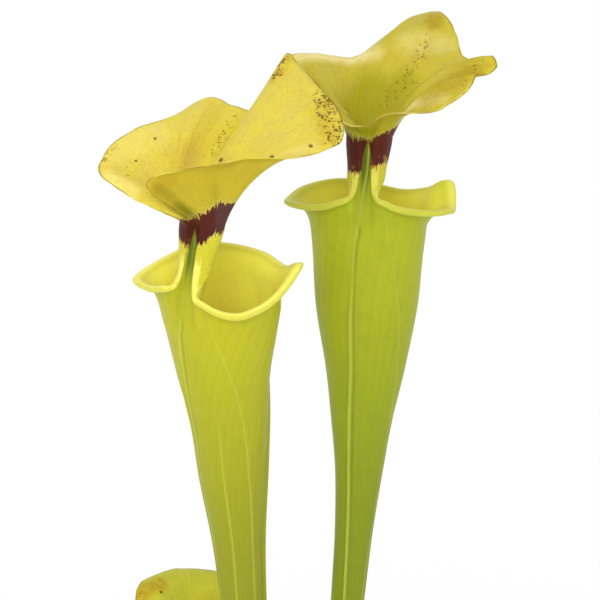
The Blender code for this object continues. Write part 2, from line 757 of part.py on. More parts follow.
def build_pot():
    inner_top = pot_radius(POT_HEIGHT) - POT_WALL
    band_foot = POT_HEIGHT - RIM_HEIGHT
    band_radius = pot_radius(band_foot) + RIM_STAND
    profile = [
        (0.0, 0.0),
        (POT_FOOT_RADIUS - EDGE_ROUND, 0.0),
        (POT_FOOT_RADIUS, EDGE_ROUND),
        (pot_radius(band_foot), band_foot),
        (band_radius - EDGE_ROUND, band_foot),
        (band_radius, band_foot + EDGE_ROUND),
        (POT_TOP_RADIUS + RIM_STAND, POT_HEIGHT - EDGE_ROUND),
        (POT_TOP_RADIUS + RIM_STAND - EDGE_ROUND, POT_HEIGHT),
        (inner_top + EDGE_ROUND, POT_HEIGHT),
        (inner_top, POT_HEIGHT - EDGE_ROUND),
        (pot_radius(POT_FLOOR) - POT_WALL, POT_FLOOR),
        (0.0, POT_FLOOR),
    ]
    pot = lathe("pot", profile, POT_SIDES, "pot_grey")
    drains = []
    for number in range(DRAINS):
        angle = 2 * math.pi * (number + DRAIN_TURN) / DRAINS
        x, y = DRAIN_CIRCLE * math.cos(angle), DRAIN_CIRCLE * math.sin(angle)
        drains.append(rod("drain", (x, y, -2.0), (x, y, POT_FLOOR + 2.0), DRAIN_RADIUS, DRAIN_RADIUS, 20))
    cut(pot, drains)
    return pot


def root_points(grow):
    """Rings along the rootstock, scarred where old leaves stood; grow widens it on all sides."""
    centre = np.array(ROOT_CENTRE)
    half_length = ROOT_HALF_LENGTH + grow
    points = [centre - np.array([half_length, 0, 0])]
    for ring in range(1, ROOT_SECTIONS):
        share = -math.cos(math.pi * ring / ROOT_SECTIONS)
        girth = (1.0 - abs(share) ** ROOT_TAPER) ** 0.5
        wave = (0.5 + 0.5 * math.cos(ROOT_RINGS * math.pi * share)) * (1.0 - share**2)
        size = girth * (1.0 - ROOT_RING_DEPTH / ROOT_HALF_WIDTH * wave)
        bend = ROOT_BEND * math.sin(2.0 * share)
        for side in range(ROOT_SIDES):
            angle = 2 * math.pi * side / ROOT_SIDES
            y = (ROOT_HALF_WIDTH * size + grow) * math.cos(angle) + bend
            z = (ROOT_HALF_HEIGHT * size + grow) * math.sin(angle)
            points.append(centre + np.array([share * half_length, y, z]))
    points.append(centre + np.array([half_length, 0, 0]))
    faces = []
    for side in range(ROOT_SIDES):
        after = (side + 1) % ROOT_SIDES
        faces.append((0, 1 + after, 1 + side))
        for ring in range(ROOT_SECTIONS - 2):
            low, high = 1 + ring * ROOT_SIDES, 1 + (ring + 1) * ROOT_SIDES
            faces.append((low + side, low + after, high + after, high + side))
        last = 1 + (ROOT_SECTIONS - 2) * ROOT_SIDES
        faces.append((last + side, last + after, len(points) - 1))
    return points, faces


def socket_cutters():
    """A rod for each leaf, a little wider than its stalk and a gap deeper."""
    cutters = []
    for spec in PITCHERS.values():
        tube = Tube(spec)
        centre, (_, _, up), radius, _ = tube.at(tube.foot)
        rim, _, rim_radius, _ = tube.at(tube.foot + SOCKET_REACH)
        foot = centre - up * GAP
        cutters.append(rod("socket", foot, rim, radius + 1.5 * GAP, rim_radius + 3.0 * GAP, SOCKET_SIDES))
    return cutters


def build_rhizome():
    points, faces = root_points(0.0)
    root = make_object("rhizome", points, faces, "root_brown")
    cut(root, socket_cutters())
    return root


def soil_wave(x, y):
    """How far the soil stands above or below its level, from -1 to 1 or a little more."""
    broad = math.sin(x * 0.21 + 1.0) * math.cos(y * 0.17)
    fine = 0.6 * math.sin(x * 0.43 - y * 0.38)
    return broad + fine


def build_potting_mix():
    floor = POT_FLOOR + GAP
    foot_radius = pot_radius(floor) - POT_WALL - 2 * GAP
    top_radius = pot_radius(SOIL_LEVEL) - POT_WALL - 2 * GAP
    profile = [(0.0, floor), (foot_radius, floor), (top_radius, SOIL_LEVEL)]
    for ring in range(1, SOIL_RINGS):
        profile.append((top_radius * (1 - ring / SOIL_RINGS), SOIL_LEVEL))
    profile.append((0.0, SOIL_LEVEL))
    soil = lathe("potting_mix", profile, POT_SIDES, "peat_brown")
    for vertex in soil.data.vertices:
        x, y, z = vertex.co / MM
        if z > SOIL_LEVEL - 1.0:
            inside = smooth_step((top_radius - math.hypot(x, y)) / SOIL_EDGE)
            vertex.co.z += MM * SOIL_RELIEF * soil_wave(x, y) * float(inside)
    points, faces = root_points(GAP + 0.1)
    cut(soil, [make_object("pocket", points, faces, "peat_brown")])
    return soil


def main():
    clear_scene()
    build_pot()
    build_potting_mix()
    build_rhizome()
    for name in PITCHERS:
        build_pitcher(name)


main()
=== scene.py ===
"""A yellow pitcher plant in its pot: fine leaves, rootstock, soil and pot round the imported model.

Shapes are worked out in millimetres and made in metres. +Z is up, +X is right and +Y points away from
the camera.
"""

import math

import bmesh
import bpy
import numpy as np
from bpy.props import FloatProperty, FloatVectorProperty, IntProperty, PointerProperty
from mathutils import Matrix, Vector


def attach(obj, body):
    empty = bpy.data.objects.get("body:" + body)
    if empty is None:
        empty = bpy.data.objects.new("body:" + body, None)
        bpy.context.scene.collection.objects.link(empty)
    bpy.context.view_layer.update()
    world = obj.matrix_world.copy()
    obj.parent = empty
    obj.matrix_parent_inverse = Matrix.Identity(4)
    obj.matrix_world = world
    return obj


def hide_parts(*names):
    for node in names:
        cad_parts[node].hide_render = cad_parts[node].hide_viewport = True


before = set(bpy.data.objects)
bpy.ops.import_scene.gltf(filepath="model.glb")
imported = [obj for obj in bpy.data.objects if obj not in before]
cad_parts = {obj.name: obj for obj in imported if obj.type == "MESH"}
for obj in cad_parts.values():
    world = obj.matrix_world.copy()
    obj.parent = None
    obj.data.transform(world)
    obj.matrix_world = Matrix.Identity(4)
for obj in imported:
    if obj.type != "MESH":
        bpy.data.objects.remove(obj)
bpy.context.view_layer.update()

bl_info = {
    "name": "Yellow Pitcher Plant",
    "version": (1, 0, 0),
    "blender": (4, 5, 0),
    "location": "View3D > Sidebar > Pitcher Plant",
    "description": "Builds a potted yellow pitcher plant and its studio around a packed model",
    "category": "Object",
}

MM = 0.001

# Leaf wall, with a raised rib behind, a wing in front and soft folds between
WALL = 1.0
LID_WALL = 0.9
LID_EDGE_WALL = 0.45
MIDRIB_HEIGHT = 0.7
FRONT_WING_HEIGHT = 1.8
RIB_ANGLE = 4.0
WING_ANGLE = 5.0
FOLDS = 3
FOLD_DEPTH = 0.012
FOLD_TURN = 0.6
RELIEF_START = 0.03
RELIEF_FADE = 0.1
HOLLOW_FLOOR = 0.12
WINDOW_ANGLE = 11.0

# Rolled lip: it leaves the wall below the mouth, sweeps out and droops, and thins out to its furthest tips
FLARE_START = 13.0
LIP_ROLL = 1.9
LIP_DROOP = 2.4
LIP_SWEEP = 0.1
LIP_RISE = 0.6
LIP_ROUND = 0.4
LIP_INSET = 0.8
LIP_SWELL = 4
LIP_STEP = 0.02
LIP_THIN_FROM = 33.0
LIP_THIN_SPAN = 10.0
LIP_THINNING = 0.055

# Neck of a tall pitcher
NECK_HALF_WIDTH = 9.6
NECK_HALF_DEPTH = 7.0
THROAT_HALF_DEPTH = 7.6
GROOVE_DEPTH = 2.0
GROOVE_FOOT_HALF_WIDTH = 3.4
GROOVE_TOP_HALF_WIDTH = 1.7
GROOVE_NARROWING = 1.4
GROOVE_DEEPENING = 2.5
FLAP_EDGE_ANGLE = 15.0
FLAP_EDGE_SPREAD = 0.35
NECK_FRONT_ANGLE = 150.0
NECK_FLARE_FROM = 0.45
NECK_CROWDING = 1.3
NECK_LIFT = 0.5
FLAP_BLEND = 0.14
FRONT_BLEND = 0.6
BLEND_ROUNDING = 1.3

# How each strand of the lid runs from the throat to its edge
LID_REACH = 0.36
LID_LIFT = 0.9
LID_LEAN = 0.35
LID_OVERHANG = 0.38
LID_SLACK = 0.05
FUNNEL_DEPTH = 0.27
FUNNEL_EASE = 0.8

# Smoothing where the neck leaves the lip
RELAX_RADIUS = 13.0
RELAX_HEIGHT = 4.0
RELAX_CORE = 1.6
RELAX_STRENGTH = 0.6

# Small waves along a lid's margin, by how often each comes round, and the margin's taper
RUFFLE_BEATS = (9, 14, 23, 37, 61)
EDGE_RUFFLE = 0.45
EDGE_TAPER = 6.0

# Where round the neck the bounds of its maroon patch are given, and how far up it the lip's colours fade
PATCH_PLACES = (0.0, 0.5, 1.0, 1.5, 2.0)
NECK_FADE = 9.0

# How long a vein takes to fade in from its lowest point and out at its highest, how far the green strip
# runs on under the lid, how far from any margin the neck counts as, how far outside the patch the lid's
# upper face counts as, and how much of a wash is at full strength
VEIN_FADE_IN = 60.0
VEIN_FADE_OUT = 24.0
STRIP_FADE = 12.0
FAR_FROM_EDGE = 30.0
OUT_OF_PATCH = 40.0
WASH_CORE = 1.25

# Tube stations: x, y, z of the axis, the tube's radius, and how far its back rib stands round from the near
# side, in degrees
LEFT_TUBE = (
    (-15.0, 0.5, 101.0, 4.6, -95.0),
    (-15.5, 0.5, 112.0, 4.8, -95.0),
    (-18.5, -3.0, 160.0, 6.4, -95.0),
    (-22.0, -6.0, 210.0, 8.8, -94.0),
    (-27.0, -8.0, 262.0, 10.5, -93.0),
    (-29.2, -9.0, 292.0, 12.4, -92.0),
    (-31.5, -11.0, 324.0, 16.1, -88.0),
    (-33.2, -15.0, 357.0, 19.4, -77.0),
    (-35.9, -21.0, 386.0, 24.1, -58.0),
    (-36.7, -26.5, 407.0, 28.0, -45.0),
    (-37.3, -30.0, 419.0, 30.2, -38.0),
    (-38.4, -34.0, 432.0, 31.0, -34.0),
)
RIGHT_TUBE = (
    (14.0, 3.5, 101.0, 4.6, -8.0),
    (14.5, 3.5, 112.0, 4.8, -8.0),
    (18.0, 5.0, 160.0, 5.8, -9.0),
    (22.0, 6.5, 210.0, 7.0, -12.0),
    (26.4, 8.0, 260.0, 8.6, -16.0),
    (29.2, 8.5, 293.0, 9.7, -22.0),
    (31.9, 9.5, 328.0, 12.6, -26.0),
    (33.0, 10.0, 352.0, 15.8, -25.0),
    (34.6, 11.0, 377.0, 20.1, -22.0),
    (35.2, 11.5, 409.0, 25.7, -18.0),
    (35.8, 12.0, 438.0, 28.0, -11.0),
    (36.5, 12.0, 463.0, 31.0, -7.0),
)
SMALL_TUBE = (
    (-1.0, 7.5, 101.0, 3.4, 30.0),
    (-2.3, 7.9, 112.0, 3.6, 28.0),
    (-12.2, 12.6, 140.0, 5.8, 24.0),
    (-24.6, 19.0, 168.0, 10.2, 19.0),
    (-38.0, 24.5, 195.0, 16.0, 15.0),
    (-45.0, 27.0, 213.0, 18.6, 14.0),
)

# Mouth rims: degrees round from the back rib, reach from the axis, height over the mouth's middle
LEFT_LIP = (
    (-180.0, 37.0, -5.0),
    (-152.0, 35.0, -1.5),
    (-127.0, 34.5, 0.5),
    (-102.0, 38.5, -2.5),
    (-82.0, 42.0, -3.5),
    (-64.0, 42.0, -1.5),
    (-45.0, 36.0, 1.0),
    (-30.0, 34.0, 4.0),
    (-18.0, 33.0, 7.0),
    (18.0, 32.0, 3.5),
    (34.0, 33.0, -2.0),
    (50.0, 33.0, -5.5),
    (68.0, 33.0, -5.5),
    (88.0, 34.5, -3.5),
    (108.0, 37.5, 0.5),
    (122.0, 41.5, 4.0),
    (132.0, 41.0, 1.0),
    (148.0, 37.5, -6.0),
)
RIGHT_LIP = (
    (-180.0, 36.0, -0.8),
    (-150.0, 37.0, 2.0),
    (-120.0, 41.5, -0.5),
    (-100.0, 42.0, -3.5),
    (-75.0, 40.5, -3.0),
    (-45.0, 34.5, -1.5),
    (-30.0, 33.5, 0.5),
    (-18.0, 33.0, 3.5),
    (18.0, 32.0, 3.5),
    (30.0, 32.5, 0.5),
    (45.0, 34.0, -1.5),
    (75.0, 41.5, -3.5),
    (100.0, 43.0, -3.0),
    (116.0, 44.0, 6.5),
    (132.0, 40.0, 1.5),
    (152.0, 36.0, -2.0),
)

# Lid margins: x, y, z from the throat's middle, then how far the blade arches over its edge.
# They run from the notch behind the neck round the right lobe, the tip and the left lobe, back to the notch.
LEFT_LID = (
    (-6.0, -9.0, 3.5, 0.0),
    (-13.0, -14.0, 9.5, 0.0),
    (-21.0, -18.0, 16.5, 0.0),
    (-26.0, -19.5, 22.0, 0.5),
    (-19.0, -20.5, 27.0, 1.0),
    (-6.5, -20.5, 29.5, 1.0),
    (10.0, -19.0, 32.0, 1.0),
    (26.0, -15.5, 34.0, 1.5),
    (43.0, -9.0, 32.8, 2.0),
    (61.0, 1.0, 35.3, 3.0),
    (69.5, 8.0, 40.0, 3.0),
    (67.5, 24.0, 51.0, -2.0),
    (58.5, 38.0, 60.0, -12.0),
    (47.5, 50.0, 70.0, -21.0),
    (42.5, 55.0, 74.0, -33.0),
    (37.8, 53.5, 64.5, -33.0),
    (30.0, 51.0, 46.5, -20.0),
    (15.5, 49.0, 48.5, -6.0),
    (4.0, 45.0, 53.8, -2.0),
    (-14.0, 38.0, 45.8, -2.0),
    (-32.0, 29.0, 40.8, -4.0),
    (-44.0, 18.0, 34.3, -6.5),
    (-48.6, 7.0, 28.6, -4.5),
    (-48.5, -1.5, 23.0, -1.0),
    (-37.0, -7.0, 15.5, 2.0),
    (-27.5, -10.5, 11.0, 1.0),
    (-18.0, -12.0, 7.0, 0.5),
    (-10.5, -11.0, 3.0, 0.0),
)
RIGHT_LID = (
    (0.5, -15.5, 8.0, 0.0),
    (4.5, -18.0, 11.0, 0.0),
    (9.5, -19.5, 14.0, 0.0),
    (16.5, -20.0, 14.5, 0.5),
    (26.0, -18.5, 14.0, 1.0),
    (35.0, -16.0, 16.0, 0.0),
    (43.0, -12.0, 20.3, 0.0),
    (49.5, -7.0, 25.0, 0.0),
    (53.0, -2.0, 30.5, 0.0),
    (57.5, 3.0, 30.0, -2.0),
    (63.0, 5.5, 33.0, 0.0),
    (61.0, 9.0, 38.0, 0.0),
    (54.0, 12.0, 36.0, -4.0),
    (46.5, 20.0, 37.0, 0.0),
    (43.6, 36.0, 45.5, -2.0),
    (38.8, 48.0, 52.5, -3.0),
    (32.0, 56.0, 53.6, -3.0),
    (22.0, 54.0, 51.0, -4.0),
    (12.5, 48.0, 45.0, -4.0),
    (0.5, 40.0, 37.0, 1.0),
    (-8.0, 35.0, 33.5, 2.0),
    (-20.0, 33.0, 35.0, 4.0),
    (-34.0, 31.0, 36.0, 4.0),
    (-41.0, 24.0, 34.0, 3.0),
    (-40.0, 13.0, 27.5, 2.0),
    (-32.0, 2.0, 19.0, 2.0),
    (-22.0, -7.5, 13.0, 1.0),
    (-12.0, -14.5, 8.0, 0.5),
    (-6.0, -16.5, 7.5, 0.0),
    (-2.5, -15.5, 7.0, 0.0),
)
SMALL_LID = (
    (-0.5, -6.0, 3.0, 0.0),
    (1.5, -9.0, 5.5, 0.0),
    (6.0, -12.0, 8.0, 0.3),
    (13.0, -12.5, 11.0, 0.5),
    (21.0, -9.0, 13.0, 1.0),
    (28.0, -2.0, 16.0, 1.5),
    (31.0, 7.0, 18.0, 2.0),
    (29.0, 16.0, 22.0, 2.0),
    (22.0, 24.0, 23.5, 1.5),
    (13.0, 30.0, 25.5, 0.0),
    (3.0, 33.0, 25.8, -2.0),
    (-7.0, 31.0, 27.5, -2.0),
    (-16.0, 26.0, 28.5, -1.0),
    (-25.5, 18.0, 27.5, 0.0),
    (-33.5, 9.0, 25.0, 0.0),
    (-35.0, 1.0, 17.5, 0.0),
    (-29.0, -6.0, 11.0, 1.0),
    (-21.0, -10.0, 9.0, 0.6),
    (-12.0, -11.5, 7.0, 0.4),
    (-5.0, -10.0, 5.0, 0.0),
    (-2.0, -6.5, 3.0, 0.0),
)

PITCHERS = {
    "pitcher_left": {
        "tube": LEFT_TUBE,
        "lip": LEFT_LIP,
        "lid": LEFT_LID,
        "throat": (-46.5, -53.0, 463.5),
        "neck_shift": 1.2,
        "throat_half_width": 12.6,
        "scale": 1.0,
        "ruffle_seed": 103,
    },
    "pitcher_right": {
        "tube": RIGHT_TUBE,
        "lip": RIGHT_LIP,
        "lid": RIGHT_LID,
        "throat": (36.5, -1.5, 497.0),
        "neck_shift": 0.0,
        "throat_half_width": 11.6,
        "scale": 1.0,
        "ruffle_seed": 103,
    },
    "pitcher_small": {
        "tube": SMALL_TUBE,
        "lip": RIGHT_LIP,
        "lid": SMALL_LID,
        "throat": (-47.0, 19.5, 233.0),
        "neck_shift": 0.0,
        "throat_half_width": 11.6,
        "scale": 0.6,
        "ruffle_seed": 63,
    },
}


# What marks each leaf, in millimetres from its throat's middle. A patch bound gives the maroon patch's
# height on the left and the right, from the green strip round to the front. A vein gives heights and
# degrees round from the near side. A wash runs from one place to another with a reach and a strength;
# a spot is a place and a reach. The trough washes are painted shading: shade in the lids' valleys, and
# light on the left lid's fold. The shadow washes are painted shade. The rim washes place a painted
# highlight along a rolled margin, with painted shade in the crease behind it. The ochre washes are the
# lid's own ochre tint, and painted shade on the right lid's upturned near flap.
LEAF_MARKS = {
    "pitcher_left": {
        "patch_low": ((-11.0, -10.0, -7.0, -7.0, -6.0), (-11.5, -8.0, -1.5, -3.0, -6.0)),
        "patch_high": ((5.0, 6.0, 7.0, 9.0, 11.0), (7.0, 9.5, 14.0, 14.0, 13.0)),
        "line_foot": 0.0,
        "line_strength": 0.35,
        "veins": (
            (
                (480.0, -34.5), (432.0, -34.5), (407.0, -45.0), (386.0, -52.0),
                (357.0, -66.0), (324.0, -74.0), (190.0, -78.0),
            ),
            (
                (430.0, -13.0), (410.0, -4.0), (380.0, 15.0), (350.0, 25.5),
                (320.0, 33.0), (290.0, 38.0), (190.0, 39.0),
            ),
            (
                (372.0, -15.0), (335.0, -15.0), (305.0, -12.0), (290.0, -11.0),
                (262.0, -14.5), (190.0, -18.0),
            ),
        ),
        "trough": (
            ((16.0, 43.0, 45.0), (4.0, 20.0, 25.0), 9.0, 0.45),
        ),
        "shadow": (
            ((-3.0, -10.0, 5.0), (-12.0, -11.0, 12.0), 6.0, 0.9),
            ((-12.0, -11.0, 12.0), (-20.0, -16.0, 19.0), 6.0, 0.45),
        ),
        "rim": (
            ((-26.0, -20.0, 24.0), (10.0, -19.0, 32.0), 5.0, 0.35),
            ((68.5, 15.0, 47.0), (69.5, 8.0, 42.0), 4.0, 1.0),
        ),
        "pale": (
            ((-44.0, -2.0, 22.0), (-34.0, -7.0, 16.0), 7.0, 0.7),
            ((-44.0, 12.0, 33.0), (-24.0, 24.0, 38.0), 14.0, 0.35),
            ((30.0, -6.0, 31.0), (55.0, 0.0, 37.0), 5.0, 0.4),
        ),
        "ochre_and_shade": (
            ((-12.0, 10.0, 31.0), (2.0, 18.0, 36.0), 12.0, 0.25),
            ((63.0, 4.0, 41.0), (60.0, 26.0, 54.0), 9.0, 0.45),
            ((41.0, 52.0, 72.0), (36.0, 45.0, 65.0), 7.0, 0.5),
            ((-26.0, -19.0, 22.0), (-16.0, -17.0, 22.0), 8.0, 0.35),
        ),
        "specks": (
            ((60.0, 31.0, 56.0), (66.0, 4.0, 41.0), 11.0, 1.0),
            ((17.0, 44.0, 46.0), (6.0, 25.0, 30.0), 5.0, 0.7),
            ((-48.0, 6.0, 29.0), (-41.0, 17.0, 35.0), 3.5, 0.8),
            ((-40.0, -2.0, 22.0), (-22.0, 20.0, 37.0), 10.0, 0.35),
            ((37.0, 42.0, 63.0), (41.0, 52.0, 72.0), 5.0, 0.9),
            ((48.0, 38.0, 61.0), (58.0, 18.0, 48.0), 12.0, 0.35),
        ),
        "spots": (
            (9.9, 11.9, 28.5, 1.6),
            (34.9, -1.4, 32.4, 1.5),
            (53.8, 1.2, 37.4, 1.5),
            (60.8, 31.7, 56.8, 1.2),
            (-22.5, 20.7, 37.4, 1.2),
            (-31.5, 10.4, 28.3, 0.9),
            (-35.1, 0.5, 23.2, 0.9),
            (35.4, 46.0, 64.5, 1.4),
            (36.5, 43.0, 63.0, 1.2),
            (66.0, 6.0, 42.0, 1.3),
        ),
    },
    "pitcher_right": {
        "patch_low": ((-17.0, -18.5, -18.0, -16.0, -14.0), (-14.5, -15.5, -12.5, -12.0, -12.0)),
        "patch_high": ((-0.5, 0.0, 1.5, 5.0, 9.0), (-1.0, 1.5, 6.5, 9.0, 11.0)),
        "line_foot": -1.3,
        "line_strength": 0.8,
        "veins": (
            (
                (500.0, -9.5), (463.0, -9.5), (438.0, -15.0), (409.0, -18.0),
                (377.0, -20.5), (328.0, -25.0), (260.0, -12.0), (190.0, -6.0),
            ),
            (
                (470.0, 6.0), (440.0, 23.5), (410.0, 38.5), (380.0, 51.0),
                (350.0, 66.0), (305.0, 70.0), (262.0, 57.0), (190.0, 50.0),
            ),
            ((450.0, -50.0), (400.0, -62.0), (350.0, -74.0), (260.0, -90.0)),
        ),
        "trough": (
            ((-2.0, 10.6, 9.0), (2.0, 15.0, 19.0), 17.0, 1.0),
            ((2.0, 8.0, 8.0), (16.0, 12.0, 24.0), 13.0, 0.8),
            ((-10.0, -6.0, 1.0), (2.0, -8.0, 2.0), 7.0, 0.9),
        ),
        "shadow": (((0.0, 2.0, 6.0), (3.0, 6.0, 12.0), 5.0, 0.3),),
        "rim": (
            ((-12.0, -15.0, 8.0), (9.5, -19.5, 14.0), 6.0, 1.0),
            ((9.5, -19.5, 14.0), (35.0, -16.0, 16.0), 6.0, 1.0),
            ((35.0, -16.0, 16.0), (50.0, -7.0, 25.0), 5.0, 0.6),
        ),
        "pale": (
            ((-34.0, 22.0, 35.0), (3.0, 30.0, 35.0), 9.0, 1.0),
            ((6.0, -2.0, 10.0), (35.0, -9.0, 19.0), 7.0, 1.0),
            ((20.0, 30.0, 42.0), (36.0, 26.0, 43.0), 12.0, 0.4),
        ),
        "ochre_and_shade": (
            ((30.0, -8.0, 20.0), (50.0, 3.0, 33.0), 10.0, 0.8),
            ((34.0, 48.0, 52.0), (33.0, 40.0, 49.0), 7.0, 0.9),
            ((57.0, 6.0, 34.0), (60.0, 7.0, 35.0), 4.0, 0.3),
        ),
        "specks": (
            ((31.7, 44.0, 51.0), (25.3, 20.0, 36.0), 8.0, 0.65),
            ((25.3, 20.0, 36.0), (9.0, 10.0, 15.0), 7.0, 0.75),
            ((14.0, 10.0, 20.0), (24.0, 8.0, 25.0), 6.0, 0.5),
            ((46.0, -5.0, 26.0), (52.0, 2.0, 31.0), 4.0, 0.8),
            ((-30.0, 12.0, 30.0), (-8.0, 14.0, 26.0), 9.0, 0.3),
        ),
        "spots": (
            (51.2, 7.5, 35.2, 1.1),
            (51.8, 5.6, 34.2, 1.0),
            (52.3, 3.6, 32.8, 1.1),
            (52.8, 1.6, 31.2, 1.0),
            (21.7, 10.7, 25.3, 0.9),
            (17.7, 10.4, 22.3, 0.8),
            (34.5, 46.0, 52.0, 1.0),
        ),
    },
    "pitcher_small": {
        "patch_low": ((-8.0, -8.0, -6.0, -7.0, -8.0), (-8.0, -8.0, -6.0, -7.0, -8.0)),
        "patch_high": ((1.0, 2.0, 5.0, 6.0, 7.0), (1.0, 2.0, 5.0, 6.0, 7.0)),
        "line_foot": 0.0,
        "line_strength": 0.5,
        "veins": (
            ((250.0, 14.0), (213.0, 14.0), (160.0, 20.0), (100.0, 30.0)),
            ((240.0, 40.0), (180.0, 60.0), (110.0, 80.0)),
            ((240.0, -20.0), (180.0, -30.0), (110.0, -40.0)),
        ),
        "trough": (((0.0, 6.0, 8.0), (2.0, 12.0, 16.0), 9.0, 0.6),),
        "shadow": (((0.0, 2.0, 4.0), (1.0, 4.0, 7.0), 3.0, 0.3),),
        "rim": (((-6.0, -9.0, 5.0), (20.0, -10.0, 12.0), 4.0, 0.6),),
        "pale": (((14.0, 10.0, 18.0), (24.0, 4.0, 16.0), 8.0, 0.4),),
        "ochre_and_shade": (((-34.0, 4.0, 20.0), (-24.0, 10.0, 24.0), 8.0, 0.8),),
        "specks": (((-34.0, 4.0, 20.0), (-24.0, 12.0, 25.0), 6.0, 0.7),),
        "spots": ((-22.1, 4.9, 22.4, 1.2),),
    },
}

# Colours of the leaves. What all three share comes first. The shadow and trough tones are painted shade
# and light, the tone for the rolled margin is a painted highlight, the ochre tones are partly painted
# shade and the maroon sheen is a painted sheen.
SHARED_TONES = {
    "blotch": "9A6428", "tooth": "F0E690", "strip_light": "A6AC42",
    "edge": "84601E", "shadow": "7A7610", "rolled_highlight": "D6CC6E",
}
LEAF_TONES = {
    "pitcher_left": {
        "foot": "6A7823", "low": "8B9023", "top": "B2B226", "vein": "818B25", "shade": "999926",
        "rib": "BFBE46", "lip": "E9E36F", "mouth": "E5DC58", "deep": "CBC452", "neck": "CAC436",
        "lid": "D0C148", "lid_pale": "CAB956", "lid_vein": "A89A24", "trough": "DCD050",
        "under": "B7A829", "under_pale": "B0A22C", "under_vein": "9C8424", "pale": "E4D488",
        "ochre_and_shade": "B4911A", "strip": "6C7820", "speck": "40290E",
        "maroon": "52201E", "maroon_red": "54200F", "maroon_sheen": "563432",
    },
    "pitcher_right": {
        "foot": "62731E", "low": "7D8A1E", "top": "A2AA22", "vein": "708022", "shade": "859026",
        "rib": "AAB446", "lip": "D5D05E", "mouth": "CFCA48", "deep": "C2BE44", "neck": "C2BC36",
        "lid": "B4A931", "lid_pale": "B1A641", "lid_vein": "A2982A", "trough": "999614",
        "under": "ABA322", "under_pale": "A29B24", "under_vein": "968424", "pale": "DCCE8E",
        "ochre_and_shade": "A08C18", "strip": "68721A", "speck": "5A4416",
        "maroon": "50211E", "maroon_red": "56200F", "maroon_sheen": "5C3633",
    },
    "pitcher_small": {
        "foot": "647526", "low": "83922B", "top": "97A62E", "vein": "7C8E2A", "shade": "94A030",
        "rib": "B9C452", "lip": "DCD84A", "mouth": "C6C238", "deep": "8E962C", "neck": "CEC836",
        "lid": "B4B635", "lid_pale": "ABAF3A", "lid_vein": "98982A", "trough": "A6A42C",
        "under": "BDB436", "under_pale": "B4AC38", "under_vein": "8E8026", "pale": "DCCB6E",
        "ochre_and_shade": "A9881A", "strip": "5F6614", "speck": "40290E",
        "maroon": "4C1A18", "maroon_red": "62200F", "maroon_sheen": "56332F",
    },
}

# Half width of a vein's pale line, and how far beside the midrib its darker line of painted shade runs
RIB_LINE = 0.9
BESIDE_MIDRIB = 1.6

# Cells of a leaf at its coarsest, and how many times finer the tall and the small ones are
WINDOW_CELLS = 4
REST_CELLS = 15
TUBE_ROWS = 10
HOLLOW_ROWS = 6
LIP_SIDE_ROWS = 3
LIP_EDGE_ROWS = 2
LIP_TOP_ROWS = 8
NECK_ROWS = 3
LID_ROWS = 5
TALL_REFINE = 8
SMALL_REFINE = 4

# Pot, sized as in the solids, with finer sides and the rounding of each corner of its outline
GAP = 0.3
POT_HEIGHT = 120.0
POT_TOP_RADIUS = 68.0
POT_FOOT_RADIUS = 50.0
POT_WALL = 2.2
POT_FLOOR = 2.6
RIM_HEIGHT = 16.0
RIM_STAND = 2.6
DRAIN_RADIUS = 5.0
DRAIN_CIRCLE = 30.0
DRAINS = 5
DRAIN_TURN = 0.27
DRAIN_SIDES = 32
DRAIN_OVERSHOOT = 2.0
POT_SIDES = 144
POT_ROUNDING = (0.0, 1.6, 0.5, 1.0, 1.4, 1.4, 2.0, 0.0)
EDGE_STEPS = 5
SHARP_EDGE = math.radians(40.0)

# Soil, and the loose crumbs and grains on it, whose half lengths and sizes lie between two values
SOIL_LEVEL = 108.0
SOIL_EDGE = 12.0
SOIL_EDGE_DROP = 0.4
SOIL_RINGS = 70
SOIL_SIDES = 216
MIX_SEED = 41
LOOSE_EDGE = 2.5
CRUMB_HALF_SIDES = (0.5, 1.7)
CRUMB_SIZES = (0.5, 1.2)
CRUMB_ROUGHNESS = 0.12
GRAIN_SIZES = (0.5, 1.15)
GRAIN_ROUGHNESS = 0.07

# Moss: its cushions, then the length of its leaves, how they spread, and the faces of one leaf by its corners
CUSHIONS = 26
CUSHION_REACH = (3.0, 8.0)
CUSHION_SWELL = 0.32
MOSS_EDGE = 2.0
MOSS_SINK = 0.3
MOSS_LENGTH = (1.0, 2.1)
MOSS_HALF_WIDTH = 0.16
MOSS_WIDEST = 0.4
MOSS_FOLD = 0.7
MOSS_SPREAD = 0.45
MOSS_LEAF = ((0, 1, 4), (1, 2, 4), (2, 3, 4), (3, 0, 4), (0, 3, 2), (0, 2, 1))

# Rootstock, sized as in the solids, with finer rings and sides
ROOT_CENTRE = (-1.0, 2.0, 105.0)
ROOT_HALF_LENGTH = 33.0
ROOT_HALF_WIDTH = 12.5
ROOT_HALF_HEIGHT = 10.5
ROOT_RINGS = 9
ROOT_RING_DEPTH = 0.9
ROOT_BEND = 2.5
ROOT_TAPER = 2.6
ROOT_SECTIONS = 120
ROOT_SIDES = 72
ROOT_SEED = 7

# Papery scales round the leaves' feet: how many, how far each may differ, and how it stands off the tube
SCALES_PER_LEAF = 5
SCALE_TURN = 0.2
SCALE_FOOT = 112.5
SCALE_SHIFT = (-0.5, 1.0)
SCALE_HEIGHT = (14.0, 26.0)
SCALE_HALF_ANGLE = (0.55, 0.8)
SCALE_TIP = 0.02
SCALE_GAP = 0.45
SCALE_FLARE = 1.4
SCALE_CUP = 0.5
SCALE_WALL = 0.35
SCALE_ROWS = 12
SCALE_COLUMNS = 9
SCALE_SEED = 23

# Studio: a soft sun over the camera's shoulder, and what the camera looks at
KEY_SOFTNESS = math.radians(35.0)
KEY_TILT = math.radians(66.0)
KEY_TURN = math.radians(-6.0)
CAMERA_AIM = (0.002, 0.0, 0.4134)
SENSOR_WIDTH = 36.0
VIEW_DEPTH = 60.0


def smooth_step(value):
    """0 below 0, 1 above 1 and a soft step between."""
    value = np.clip(value, 0.0, 1.0)
    return value * value * (3.0 - 2.0 * value)


